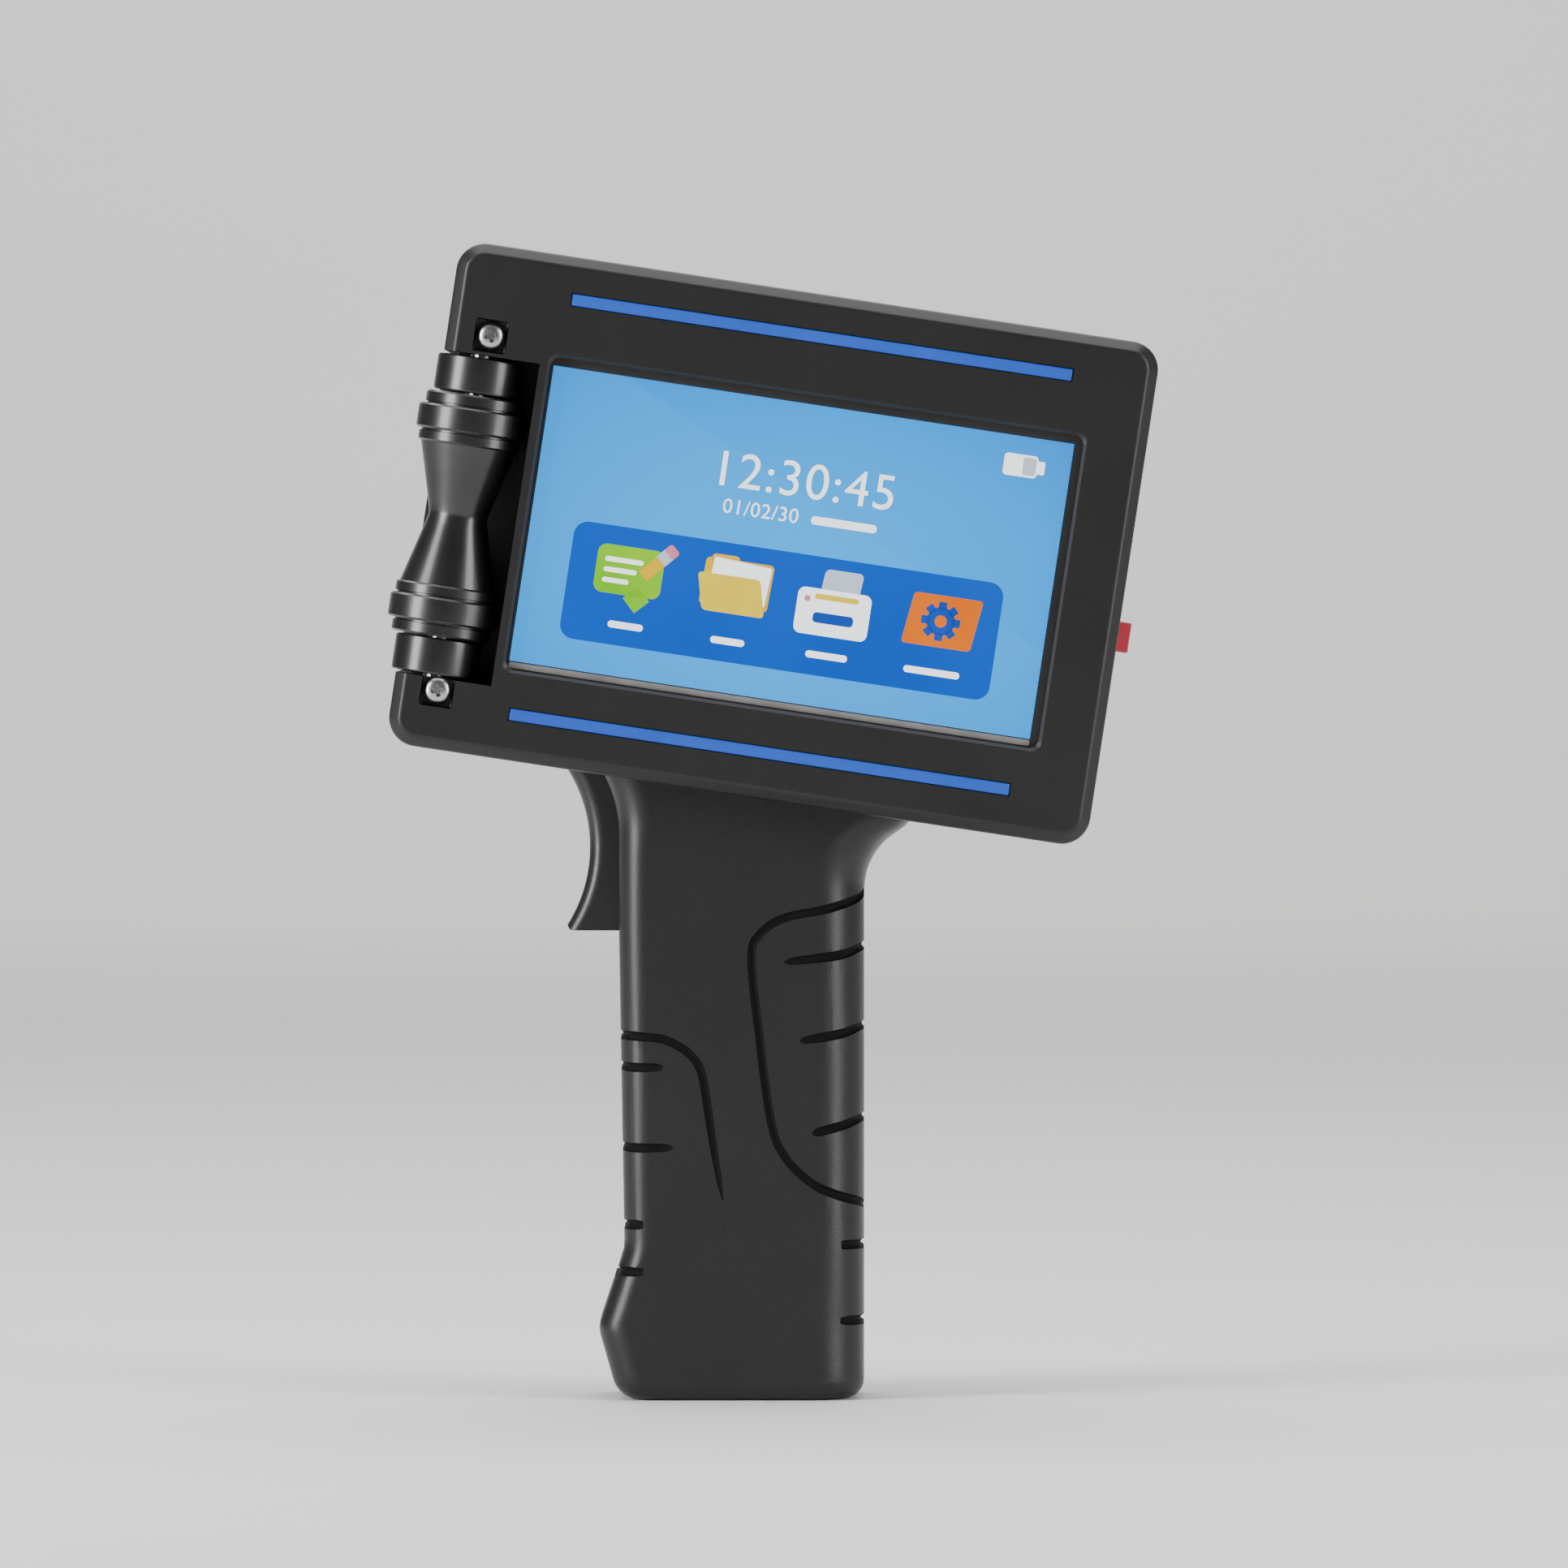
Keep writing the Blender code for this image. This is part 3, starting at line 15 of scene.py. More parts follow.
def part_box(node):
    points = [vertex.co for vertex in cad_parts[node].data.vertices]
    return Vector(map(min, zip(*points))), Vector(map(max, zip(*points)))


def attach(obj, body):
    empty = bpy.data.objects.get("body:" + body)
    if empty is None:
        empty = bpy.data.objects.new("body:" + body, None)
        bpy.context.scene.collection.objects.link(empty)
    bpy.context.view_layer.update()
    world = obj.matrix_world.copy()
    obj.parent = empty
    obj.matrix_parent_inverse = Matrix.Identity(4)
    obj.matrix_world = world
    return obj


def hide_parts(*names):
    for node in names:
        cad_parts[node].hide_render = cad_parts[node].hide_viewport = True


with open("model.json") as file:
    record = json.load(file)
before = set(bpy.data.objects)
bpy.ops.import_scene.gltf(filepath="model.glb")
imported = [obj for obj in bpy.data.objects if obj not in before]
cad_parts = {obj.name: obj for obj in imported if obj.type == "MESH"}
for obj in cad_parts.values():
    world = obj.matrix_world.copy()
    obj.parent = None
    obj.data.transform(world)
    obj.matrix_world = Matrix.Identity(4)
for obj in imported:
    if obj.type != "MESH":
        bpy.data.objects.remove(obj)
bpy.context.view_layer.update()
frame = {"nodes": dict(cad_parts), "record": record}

MM = 0.001

# ---------------------------------------------------------------- the frame's own sizes
JOINTS = {joint["name"]: joint for joint in frame["record"]["behaviour"]["joints"]}
ROLLER_AXIS = Vector(JOINTS["front_roller_spin"]["axis"])
TILT = math.atan2(ROLLER_AXIS.x, ROLLER_AXIS.z)
COVER_LOW, COVER_HIGH = (Vector(corner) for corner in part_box("front_bezel"))
HEAD_MIDDLE = Vector(((COVER_LOW.x + COVER_HIGH.x) / 2, 0, (COVER_LOW.z + COVER_HIGH.z) / 2))
HEAD = Matrix.Translation(HEAD_MIDDLE) @ Matrix.Rotation(TILT, 4, "Y")
HERE = Matrix.Identity(4)


def head_box(node):
    """Lowest and highest corner of a node in the head's own frame."""
    inverse = HEAD.inverted()
    places = [inverse @ vertex.co for vertex in frame["nodes"][node].data.vertices]
    return Vector(map(min, zip(*places))), Vector(map(max, zip(*places)))


def world_box(node):
    low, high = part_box(node)
    return Vector(low), Vector(high)


def box_in(node, matrix):
    return head_box(node) if matrix is HEAD else world_box(node)


def joint_place(name):
    return HEAD.inverted() @ Vector(JOINTS[name]["pos_m"])


BEZEL_BOX = head_box("front_bezel")
BACK_Y = world_box("rear_housing")[1].y
HALF = Vector((BEZEL_BOX[1].x, BACK_Y, BEZEL_BOX[1].z))
COVER_BACK = BEZEL_BOX[1].y
HOUSING_FRONT = world_box("front_housing")[0].y
HOUSING_MIDDLE = world_box("front_housing")[1].y
SCREEN_BOX = head_box("touch_glass")
ROLLER = {"front": joint_place("front_roller_spin"), "rear": joint_place("rear_roller_spin")}
ROLLER_BOX = head_box("front_guide_roller")
BAY_LOW = head_box("front_lower_collar")[0].z - 0.5 * MM
BAY_HIGH = head_box("front_upper_collar")[1].z + 0.5 * MM
BAY_INNER = ROLLER_BOX[1].x + 0.7 * MM
BAY_MID = abs(ROLLER_BOX[1].y) - 0.5 * MM
NOZZLE_RECESS = 2.4 * MM
TRIGGER_BOX = world_box("trigger")
DOOR_BOX = head_box("cartridge_door")
STRIPS = {"top": head_box("accent_strip_top"), "bottom": head_box("accent_strip_bottom")}
GRIP_HALF_DEPTH = 17.0 * MM

WALL = 2.2 * MM
HEAD_CORNER = 5.2 * MM
HEAD_RIM = 1.9 * MM
RIM_SOFT = 0.45 * MM
GRIP_HALF_WIDTH = 22.3 * MM
GRIP_CORNER = 5.5 * MM
PALM_CORNER = 10.0 * MM
GRIP_TOP = 117.0 * MM
BASE_CORNER = 3.6 * MM
SEAM = 0.35 * MM
FAR = 20 * MM
HAIR = 0.01 * MM


# ---------------------------------------------------------------- modelling by hand
def select_nothing():
    if bpy.context.object and bpy.context.object.mode != "OBJECT":
        bpy.ops.object.mode_set(mode="OBJECT")
    bpy.ops.object.select_all(action="DESELECT")


def activate(piece):
    select_nothing()
    piece.select_set(True)
    bpy.context.view_layer.objects.active = piece


def settle():
    """Put the new piece's place, turn and size into its mesh."""
    bpy.ops.object.transform_apply(location=True, rotation=True, scale=True)
    return bpy.context.object


def cube(low, high):
    select_nothing()
    low, high = Vector(low), Vector(high)
    bpy.ops.mesh.primitive_cube_add(size=1, location=(low + high) / 2, scale=high - low)
    return settle()


def cylinder(radius, start, end, sides=64):
    select_nothing()
    start, end = Vector(start), Vector(end)
    turn = (end - start).to_track_quat("Z", "Y").to_euler()
    bpy.ops.mesh.primitive_cylinder_add(vertices=sides, radius=radius, depth=(end - start).length,
                                        location=(start + end) / 2, rotation=turn)
    return settle()


def edit(piece):
    activate(piece)
    bpy.ops.object.mode_set(mode="EDIT")


def done():
    bpy.ops.object.mode_set(mode="OBJECT")


def pick(kind, test):
    """Select the vertices, edges or faces that pass a test, and nothing else."""
    bpy.ops.mesh.select_mode(type=kind)
    bpy.ops.mesh.select_all(action="DESELECT")
    mesh = bpy.context.object.data
    bm = bmesh.from_edit_mesh(mesh)
    for item in {"VERT": bm.verts, "EDGE": bm.edges, "FACE": bm.faces}[kind]:
        if test(item):
            item.select_set(True)
    bm.select_flush_mode()
    bmesh.update_edit_mesh(mesh)


def along(edge, axis):
    span = edge.verts[1].co - edge.verts[0].co
    return abs(span[axis]) > 0.999 * span.length


def sharp(edge, angle):
    return len(edge.link_faces) == 2 and edge.calc_face_angle() > angle


def lies_at(edge, axis, level):
    return all(abs(vertex.co[axis] - level) < HAIR for vertex in edge.verts)


def mirrored(low, high, side):
    """Two depths on one side of the middle, in rising order."""
    return sorted((side * low, side * high))


def bevel(width, segments, affect="EDGES"):
    bpy.ops.mesh.bevel(offset=width, segments=segments, profile=0.5, affect=affect, clamp_overlap=True)


def bevel_edges(test, width, segments):
    pick("EDGE", test)
    bevel(width, segments)


def soften(piece, width, segments=3, angle=35):
    """Round every sharp edge of a simple solid."""
    edit(piece)
    bevel_edges(lambda e: sharp(e, math.radians(angle)), width, segments)
    done()
    return piece


def face_outwards(piece):
    edit(piece)
    bpy.ops.mesh.select_all(action="SELECT")
    bpy.ops.mesh.normals_make_consistent(inside=False)
    done()
    return piece


def boolean(piece, cutter, operation, keep):
    step = piece.modifiers.new("boolean", "BOOLEAN")
    step.operation = operation
    step.solver = "EXACT"
    step.material_mode = "TRANSFER"
    step.object = cutter
    activate(piece)
    bpy.ops.object.modifier_apply(modifier=step.name)
    if not keep:
        bpy.data.objects.remove(cutter, do_unlink=True)


def carve(piece, *cutters, keep=False):
    for cutter in cutters:
        boolean(piece, cutter, "DIFFERENCE", keep)
    return piece


def weld(piece, *others):
    for other in others:
        boolean(piece, other, "UNION", False)
    return piece


def copy_of(piece):
    twin = piece.copy()
    twin.data = piece.data.copy()
    bpy.context.scene.collection.objects.link(twin)
    return twin


def slice_off(piece, y, keep_front):
    """Cut a solid at a plane across Y and close the cut."""
    edit(piece)
    bpy.ops.mesh.select_all(action="SELECT")
    bpy.ops.mesh.bisect(plane_co=(0, y, 0), plane_no=(0, 1, 0), use_fill=True,
                        clear_outer=keep_front, clear_inner=not keep_front)
    done()
    return piece


def stack(outline, levels):
    """Extrude a flat outline up through levels of (height, middle x, scale x, scale y)."""
    edit(outline)
    bpy.ops.mesh.select_all(action="SELECT")
    height, middle, size_x, size_y = levels[0]
    for next_height, next_middle, next_x, next_y in levels[1:]:
        rise = (next_middle - middle, 0, next_height - height)
        bpy.ops.mesh.extrude_region_move(TRANSFORM_OT_translate={"value": rise})
        bpy.ops.transform.resize(value=(next_x / size_x, next_y / size_y, 1),
                                 center_override=(next_middle, 0, next_height))
        height, middle, size_x, size_y = next_height, next_middle, next_x, next_y
    done()
    return face_outwards(outline)


def turned(profile, sides=72):
    """A round piece about Z from (radius, height) points, bottom to top."""
    select_nothing()
    bpy.ops.mesh.primitive_circle_add(vertices=sides, radius=1, fill_type="NGON")
    disc = bpy.context.object
    disc.location = (0, 0, profile[0][1])
    disc.scale = (profile[0][0], profile[0][0], 1)
    settle()
    return stack(disc, [(height, 0, radius, radius) for radius, height in profile])


def put(piece, place):
    """Move a piece by a matrix and leave its place in its mesh."""
    activate(piece)
    piece.matrix_world = place @ piece.matrix_world
    settle()
    return piece


def head_cube(low, high):
    return put(cube(low, high), HEAD)


def paint(piece, material):
    """One finish all over, except for faces that a groove has left, which keep the darker groove material:
    painted shade in the grooves.
    """
    mesh = piece.data
    dark = [slot for slot, used in enumerate(mesh.materials) if used == GROOVE_SHADE]
    grooved = [face.material_index in dark for face in mesh.polygons]
    mesh.materials.clear()
    mesh.materials.append(material)
    if dark:
        mesh.materials.append(GROOVE_SHADE)
    for face, is_grooved in zip(mesh.polygons, grooved):
        face.material_index = int(is_grooved)


def finish_piece(piece, name, body, material, place=HERE, replaces=(), angle=30):
    """Place, smooth, name and paint a piece, and hang it on its body."""
    put(piece, place)
    bpy.ops.object.shade_smooth_by_angle(angle=math.radians(angle))
    even = piece.modifiers.new("even", "WEIGHTED_NORMAL")
    even.keep_sharp = True
    bpy.ops.object.modifier_apply(modifier=even.name)
    piece.name = name
    piece.data.name = name
    paint(piece, material)
    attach(piece, body)
    if replaces:
        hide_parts(*replaces)
    return piece


# ---------------------------------------------------------------- shader expressions
def arithmetic(operation, reflected=False):
    """An operator of Value, as one Math node."""
    def apply(value, other):
        first, second = (other, value) if reflected else (value, other)
        return value.finish.node("ShaderNodeMath", {"operation": operation}, {0: first, 1: second})
    return apply


class Value:
    """A shader socket that adds Math nodes when it is used in an expression."""

    def __init__(self, finish, socket):
        self.finish = finish
        self.socket = socket

    __add__ = arithmetic("ADD")
    __radd__ = arithmetic("ADD", reflected=True)
    __sub__ = arithmetic("SUBTRACT")
    __rsub__ = arithmetic("SUBTRACT", reflected=True)
    __mul__ = arithmetic("MULTIPLY")
    __rmul__ = arithmetic("MULTIPLY", reflected=True)
    __truediv__ = arithmetic("DIVIDE")
    below = arithmetic("LESS_THAN")


class Finish:
    """One material: its nodes are added here, and its shader's sockets are set here."""

    def __init__(self, name, **constants):
        self.material = bpy.data.materials.new(name)
        self.material.use_nodes = True
        self.tree = self.material.node_tree
        self.shader = self.tree.nodes["Principled BSDF"]
        self.set(**constants)

    def feed(self, socket, value):
        if isinstance(value, Value):
            self.tree.links.new(value.socket, socket)
        elif isinstance(value, tuple) and len(value) == 3 and socket.type == "RGBA":
            socket.default_value = (*value, 1.0)
        else:
            socket.default_value = value

    def node(self, kind, settings=None, inputs=None, output=0):
        node = self.tree.nodes.new(kind)
        for key, value in (settings or {}).items():
            setattr(node, key, value)
        for key, value in (inputs or {}).items():
            self.feed(node.inputs[key], value)
        return Value(self, node.outputs[output])

    def set(self, **sockets):
        for name, value in sockets.items():
            self.feed(self.shader.inputs[name.replace("_", " ")], value)
        return self.material

    def place(self, turn=(0, 0, 0), scale=(1, 1, 1), origin=(0, 0, 0)):
        """Object coordinates, moved to an origin, then turned and scaled."""
        coordinates = self.node("ShaderNodeTexCoord", output=3)
        moved = self.node("ShaderNodeMapping", {"vector_type": "POINT"},
                          {"Vector": coordinates, "Location": tuple(-c for c in origin)})
        return self.node("ShaderNodeMapping", {"vector_type": "POINT"},
                         {"Vector": moved, "Rotation": turn, "Scale": scale})

    def noise(self, place, scale, detail=3.0, roughness=0.55):
        return self.node("ShaderNodeTexNoise", None,
                         {"Vector": place, "Scale": scale, "Detail": detail, "Roughness": roughness})

    def blend(self, share, first, second):
        return self.node("ShaderNodeMix", {"data_type": "RGBA"}, {0: share, 6: first, 7: second}, output=2)

    def bump(self, height, distance, strength=1.0):
        return self.node("ShaderNodeBump", None,
                         {"Height": height, "Distance": distance, "Strength": strength})

    def part(self, vector, axis):
        return self.node("ShaderNodeSeparateXYZ", None, {0: vector}, output=axis)


def moulded(name, dark, light, roughness, grain=1700.0, depth=0.00005, spread=0.10, coat=0.0, shine=0.5):
    """Moulded plastic: fine spark grain, slow drift in tone and in shine."""
    finish = Finish(name, Coat_Roughness=0.25, Specular_IOR_Level=shine)
    place = finish.place()
    drift = finish.noise(place, 38.0, 2.0)
    fine = finish.noise(place, grain, 2.0, 0.6)
    colour = finish.blend(drift * 0.7 + fine * 0.3, dark, light)
    finish.set(Base_Color=colour, Roughness=roughness - spread / 2 + drift * spread + fine * 0.04)
    if coat:
        finish.set(Coat_Weight=coat)
    finish.set(Normal=finish.bump(fine, depth, 0.5))
    return finish.material


def turned_gloss(name, dark, light, roughness, metallic):
    """Glossy turned surface with very fine rings round its axis."""
    finish = Finish(name, Metallic=metallic, Coat_Weight=0.2, Coat_Roughness=0.12)
    place = finish.place(turn=(0, -TILT, 0), origin=HEAD_MIDDLE)
    along_axis = finish.part(place, 2)
    rings = finish.noise(finish.node("ShaderNodeCombineXYZ", None, {2: along_axis}), 2600.0, 2.0)
    smear = finish.noise(place, 120.0, 2.0)
    finish.set(Base_Color=finish.blend(smear, dark, light),
               Roughness=roughness - 0.04 + smear * 0.08 + rings * 0.06,
               Normal=finish.bump(rings, 0.00002, 0.4))
    return finish.material


def bright_metal(name, colour, roughness):
    """Plated steel with faint clouding and fine scratches."""
    finish = Finish(name, Metallic=1.0)
    place = finish.place()
    cloud = finish.noise(place, 260.0, 3.0)
    scratch = finish.noise(finish.place(turn=(0.3, 0.5, 0.2), scale=(1, 12, 1)), 900.0, 2.0)
    darker = tuple(c * 0.72 for c in colour)
    finish.set(Base_Color=finish.blend(cloud, darker, colour),
               Roughness=roughness - 0.06 + cloud * 0.14 + scratch * 0.08,
               Normal=finish.bump(scratch, 0.00002, 0.35))
    return finish.material


def lit(name, first, second, scale=90.0, strength=1.0):
    """A lit patch of the display: its own colour with a slight drift, under gloss."""
    finish = Finish(name, Roughness=0.22, Emission_Strength=strength, Specular_IOR_Level=0.10)
    place = finish.place(turn=(0, -TILT, 0), origin=HEAD_MIDDLE)
    colour = finish.blend(finish.noise(place, scale, 1.0), first, second)
    dim = finish.blend(0.12, (0.0, 0.0, 0.0), colour)
    finish.set(Base_Color=dim, Emission_Color=colour)
    return finish.material


def lit_sky(name):
    """The display's ground: pale blue that deepens to the corners, with a broad diagonal sheen."""
    low, high = SCREEN_BOX
    finish = Finish(name, Roughness=0.20, Emission_Strength=1.0, Specular_IOR_Level=0.10)
    place = finish.place(turn=(0, -TILT, 0), origin=HEAD_MIDDLE)
    across = (finish.part(place, 0) - low.x) / (high.x - low.x)
    up = (finish.part(place, 2) - low.z) / (high.z - low.z)
    glow = 1.0 - ((across - 0.5) * (across - 0.5) + (up - 0.42) * (up - 0.42)) * 2.2
    slant = across * 0.8 + up * 1.1
    band = (slant - 0.62).below(0.50) * (slant + 0.20 * across).below(1.55)
    cloud = finish.noise(place, 26.0, 1.0)
    colour = finish.blend(glow * 0.75 + cloud * 0.2, (0.0, 0.30, 1.05), (0.0, 0.53, 1.36))
    colour = finish.blend(band * 0.10, colour, (0.05, 0.75, 1.5))
    finish.set(Base_Color=finish.blend(0.10, (0.0, 0.0, 0.0), colour), Emission_Color=colour)
    return finish.material


def circuit_board(name):
    """Solder mask with fine tracks and small pads."""
    finish = Finish(name, Coat_Weight=0.3, Coat_Roughness=0.2)
    place = finish.place(turn=(0, -TILT, 0), origin=HEAD_MIDDLE)
    tracks = finish.node("ShaderNodeTexBrick", {"offset": 0.37},
                         {"Vector": place, "Scale": 160.0, "Mortar Size": 0.035,
                          "Color1": (0.010, 0.11, 0.045), "Color2": (0.012, 0.13, 0.05),
                          "Mortar": (0.03, 0.22, 0.09)})
    pads = finish.node("ShaderNodeTexVoronoi", None, {"Vector": place, "Scale": 300.0})
    pad = pads.below(0.13)
    colour = finish.blend(pad, tracks, (0.62, 0.60, 0.52))
    finish.set(Base_Color=colour, Roughness=0.5 - pad * 0.2, Metallic=pad * 0.8,
               Normal=finish.bump(pad, 0.0001, 0.5))
    return finish.material


BLACK = moulded("satin_charcoal", (0.0085, 0.0085, 0.0092), (0.0140, 0.0138, 0.0145), 0.34, shine=0.36)
# Painted shade: groove faces are darker and duller than the body, so the grooves read as shaded recesses.
GROOVE_SHADE = moulded("groove_painted_shade", (0.0022, 0.0022, 0.0023), (0.0040, 0.0040, 0.0042), 0.70, shine=0.12)
COVER = moulded("satin_charcoal_cover", (0.0082, 0.0080, 0.0080), (0.0135, 0.0130, 0.0128), 0.38,
                grain=1500.0, shine=0.36)
TRIGGER_BLACK = moulded("trigger_black", (0.010, 0.010, 0.0106), (0.016, 0.016, 0.0166), 0.30, shine=0.42)
ROLLER_BLACK = turned_gloss("polished_roller", (0.034, 0.034, 0.035), (0.058, 0.058, 0.059), 0.28, 0.85)
STEEL = bright_metal("bright_steel", (0.50, 0.50, 0.51), 0.24)
DULL_STEEL = bright_metal("dull_steel", (0.26, 0.26, 0.27), 0.38)
GUARD_STEEL = bright_metal("blackened_steel", (0.075, 0.076, 0.080), 0.42)
BLUE = moulded("blue_inlay", (0.008, 0.056, 0.37), (0.018, 0.090, 0.48), 0.44, depth=0.00003, shine=0.3)
RED = moulded("red_rocker", (0.34, 0.010, 0.025), (0.46, 0.018, 0.040), 0.30, coat=0.3)
WHITE_INK = moulded("white_ink", (0.70, 0.70, 0.70), (0.82, 0.82, 0.82), 0.5)
EDGE_GREY = bright_metal("display_edge_grey", (0.52, 0.51, 0.50), 0.34)
GREY = moulded("grey_moulding", (0.13, 0.13, 0.135), (0.18, 0.18, 0.185), 0.50)
INK_SHELL = moulded("cartridge_shell", (0.020, 0.020, 0.022), (0.034, 0.034, 0.036), 0.30, coat=0.3)
COMPONENT = moulded("component_black", (0.012, 0.012, 0.013), (0.022, 0.022, 0.023), 0.35)
WRAP = moulded("cell_wrap", (0.020, 0.10, 0.34), (0.035, 0.15, 0.44), 0.26, coat=0.5)
MAGNET = moulded("plain_magnet", (0.07, 0.07, 0.075), (0.12, 0.12, 0.125), 0.36)
BOARD = circuit_board("solder_mask")
SKY = lit_sky("display_sky")
PANEL = lit("display_panel", (0.0, 0.075, 0.56), (0.002, 0.13, 0.74), 30.0)
WHITE = lit("display_white", (0.80, 0.86, 0.90), (0.92, 0.95, 0.97), strength=2.0)
PALE = lit("display_pale", (0.55, 0.68, 0.86), (0.72, 0.82, 0.93))
GREEN = lit("display_green", (0.14, 0.60, 0.0), (0.40, 0.86, 0.01), 120.0)
YELLOW = lit("display_yellow", (0.95, 0.50, 0.0), (1.0, 0.68, 0.01), 120.0)
PALE_YELLOW = lit("display_pale_yellow", (1.0, 0.68, 0.008), (1.05, 0.82, 0.06), 120.0)
ORANGE = lit("display_orange", (0.90, 0.14, 0.0), (1.0, 0.24, 0.005), 120.0)
PINK = lit("display_pink", (0.80, 0.22, 0.30), (0.88, 0.34, 0.42), 120.0)
DEEP_BLUE = lit("display_deep_blue", (0.012, 0.06, 0.42), (0.02, 0.10, 0.60), 120.0)

# The slot of each material.
SLOTS = {
    **dict.fromkeys((BLACK, COVER, TRIGGER_BLACK), "housing_black"),
    **dict.fromkeys((STEEL, DULL_STEEL, GUARD_STEEL), "bright_steel"),
    **dict.fromkeys((WHITE_INK, WHITE, PALE), "display_white"),
    **dict.fromkeys((PANEL, DEEP_BLUE), "display_panel"),
    ROLLER_BLACK: "roller_black", BLUE: "blue_inlay", RED: "red_rocker", SKY: "display",
    COMPONENT: "black_component", EDGE_GREY: "grey_moulding",
}


# ---------------------------------------------------------------- outer forms
def head_solid():
    """The whole head: corners rounded first, then its front and rear rims."""
    piece = cube(-HALF, HALF)
    edit(piece)
    bevel_edges(lambda e: along(e, 1), HEAD_CORNER, 10)
    bevel_edges(lambda e: sharp(e, 1.2) and any(lies_at(e, 1, y) for y in (HALF.y, -HALF.y)), HEAD_RIM, 1)
    bevel_edges(lambda e: sharp(e, 0.7) and e.calc_face_angle() < 0.9, RIM_SOFT, 3)
    done()
    return put(piece, HEAD)


def left_edge(z):
    toe, toe_top, reach, waist = 13.3 * MM, 27.6 * MM, 3.8 * MM, 1.0 * MM
    left = -GRIP_HALF_WIDTH
    if z < toe:
        return left - reach * max(z, 0) / toe
    if z < toe_top:
        return left - reach + (reach + waist) * (z - toe) / (toe_top - toe)
    if z < TRIGGER_BOX[0].z:
        return left + waist * (TRIGGER_BOX[0].z - z) / (TRIGGER_BOX[0].z - toe_top)
    flare = max(z - 103.0 * MM, 0.0) / (GRIP_TOP - 103.0 * MM)
    return left - 4.7 * MM * flare ** 2


def right_edge(z):
    start, radius = 92.6 * MM, 12.5 * MM
    rise = min(max(z - start, 0.0), radius * 0.95)
    return GRIP_HALF_WIDTH + radius - math.sqrt(radius ** 2 - rise ** 2)


def eased(edge, z):
    """An edge averaged over a short stretch, so that its corners are rounded."""
    reach = 1.3 * MM
    return sum(edge(z + reach * step / 3) for step in range(-3, 4)) / 7


GRIP_RINGS = (6, 9, 11, 12.2, 13.3, 14.4, 16, 20, 24, 26, 27.6, 29.2, 32, 45, 60, 75, 84, 88)


def grip_levels(bottom, top, inset):
    heights = [BASE_CORNER * (1 - math.cos(math.radians(a))) for a in range(0, 91, 15)]
    heights += [z * MM for z in GRIP_RINGS]
    heights += [92 * MM + 1.1 * MM * i for i in range(24)]
    levels = []
    for z in [bottom] + [h for h in heights if bottom + 0.1 * MM < h < top - 0.1 * MM] + [top]:
        under = max(BASE_CORNER - z, 0.0) if bottom >= 0 else 0.0
        tuck = BASE_CORNER - math.sqrt(max(BASE_CORNER ** 2 - under ** 2, 0))
        left = eased(left_edge, z) + inset + tuck
        right = eased(right_edge, z) - inset - tuck
        levels.append((z, (left + right) / 2, right - left, 2 * (GRIP_HALF_DEPTH - inset - tuck)))
    return levels


def grip_solid(inset=0.0, bottom=0.0, top=GRIP_TOP):
    """Rounded sections stacked up the grip, from a plane whose corners are rounded."""
    levels = grip_levels(bottom, top, inset)
    z, middle, width, depth = levels[0]
    select_nothing()
    bpy.ops.mesh.primitive_plane_add(size=1, location=(middle, 0, z), scale=(1, 1, 1))
    piece = bpy.context.object
    piece.scale = (width, depth, 1)
    settle()
    share = depth / (2 * (GRIP_HALF_DEPTH - inset))
    edit(piece)
    pick("VERT", lambda v: v.co.x > middle)
    bevel((PALM_CORNER - inset) * share, 12, "VERTICES")
    pick("VERT", lambda v: v.co.x < middle - width * 0.49)
    bevel((GRIP_CORNER - inset) * share, 8, "VERTICES")
    done()
    return stack(piece, levels)


def bay_block(side, near, inner, low, high):
    """A box from one face of the head inwards, round a roller."""
    front, back = mirrored(near, HALF.y + FAR, side)
    return head_cube((-HALF.x - FAR, front, low), (inner, back, high))


def hollow():
    """The room inside: the head's, less the solid round the roller bays."""
    inner = HALF - Vector((WALL, WALL + 0.2 * MM, WALL))
    room = head_cube(-inner, inner)
    ends = 6.4 * MM
    for side in (-1, 1):
        carve(room, bay_block(side, BAY_MID - 1.5 * MM, BAY_INNER + 1.6 * MM,
                              BAY_LOW - ends, BAY_HIGH + ends))
    return carve(room, nozzle_recess(WALL))


def nozzle_recess(margin=0.0):
    """The step between the two roller bays, so that only the rollers touch the work."""
    depth = NOZZLE_RECESS + margin
    return head_cube((-HALF.x - FAR, -BAY_MID - MM - margin, BAY_LOW - margin),
                     (-HALF.x + depth, BAY_MID + MM + margin, BAY_HIGH + margin))


# ---------------------------------------------------------------- grooves of the grip
def skin_point(distance, z, lift):
    """A point on the grip's skin: distance round it from the front's middle line, at a height."""
    edge = eased(right_edge, z) if distance > 0 else -eased(left_edge, z)
    corner = PALM_CORNER if distance > 0 else GRIP_CORNER
    flat = edge - corner
    side = 1 if distance > 0 else -1
    run = abs(distance)
    if run <= flat:
        return Vector((distance, -GRIP_HALF_DEPTH - lift, z))
    angle = min((run - flat) / corner, math.pi / 2)
    past = max(run - flat - corner * math.pi / 2, 0.0)
    reach = corner + lift
    x = flat + reach * math.sin(angle)
    y = -GRIP_HALF_DEPTH + corner - reach * math.cos(angle) + past
    return Vector((side * x, y, z))


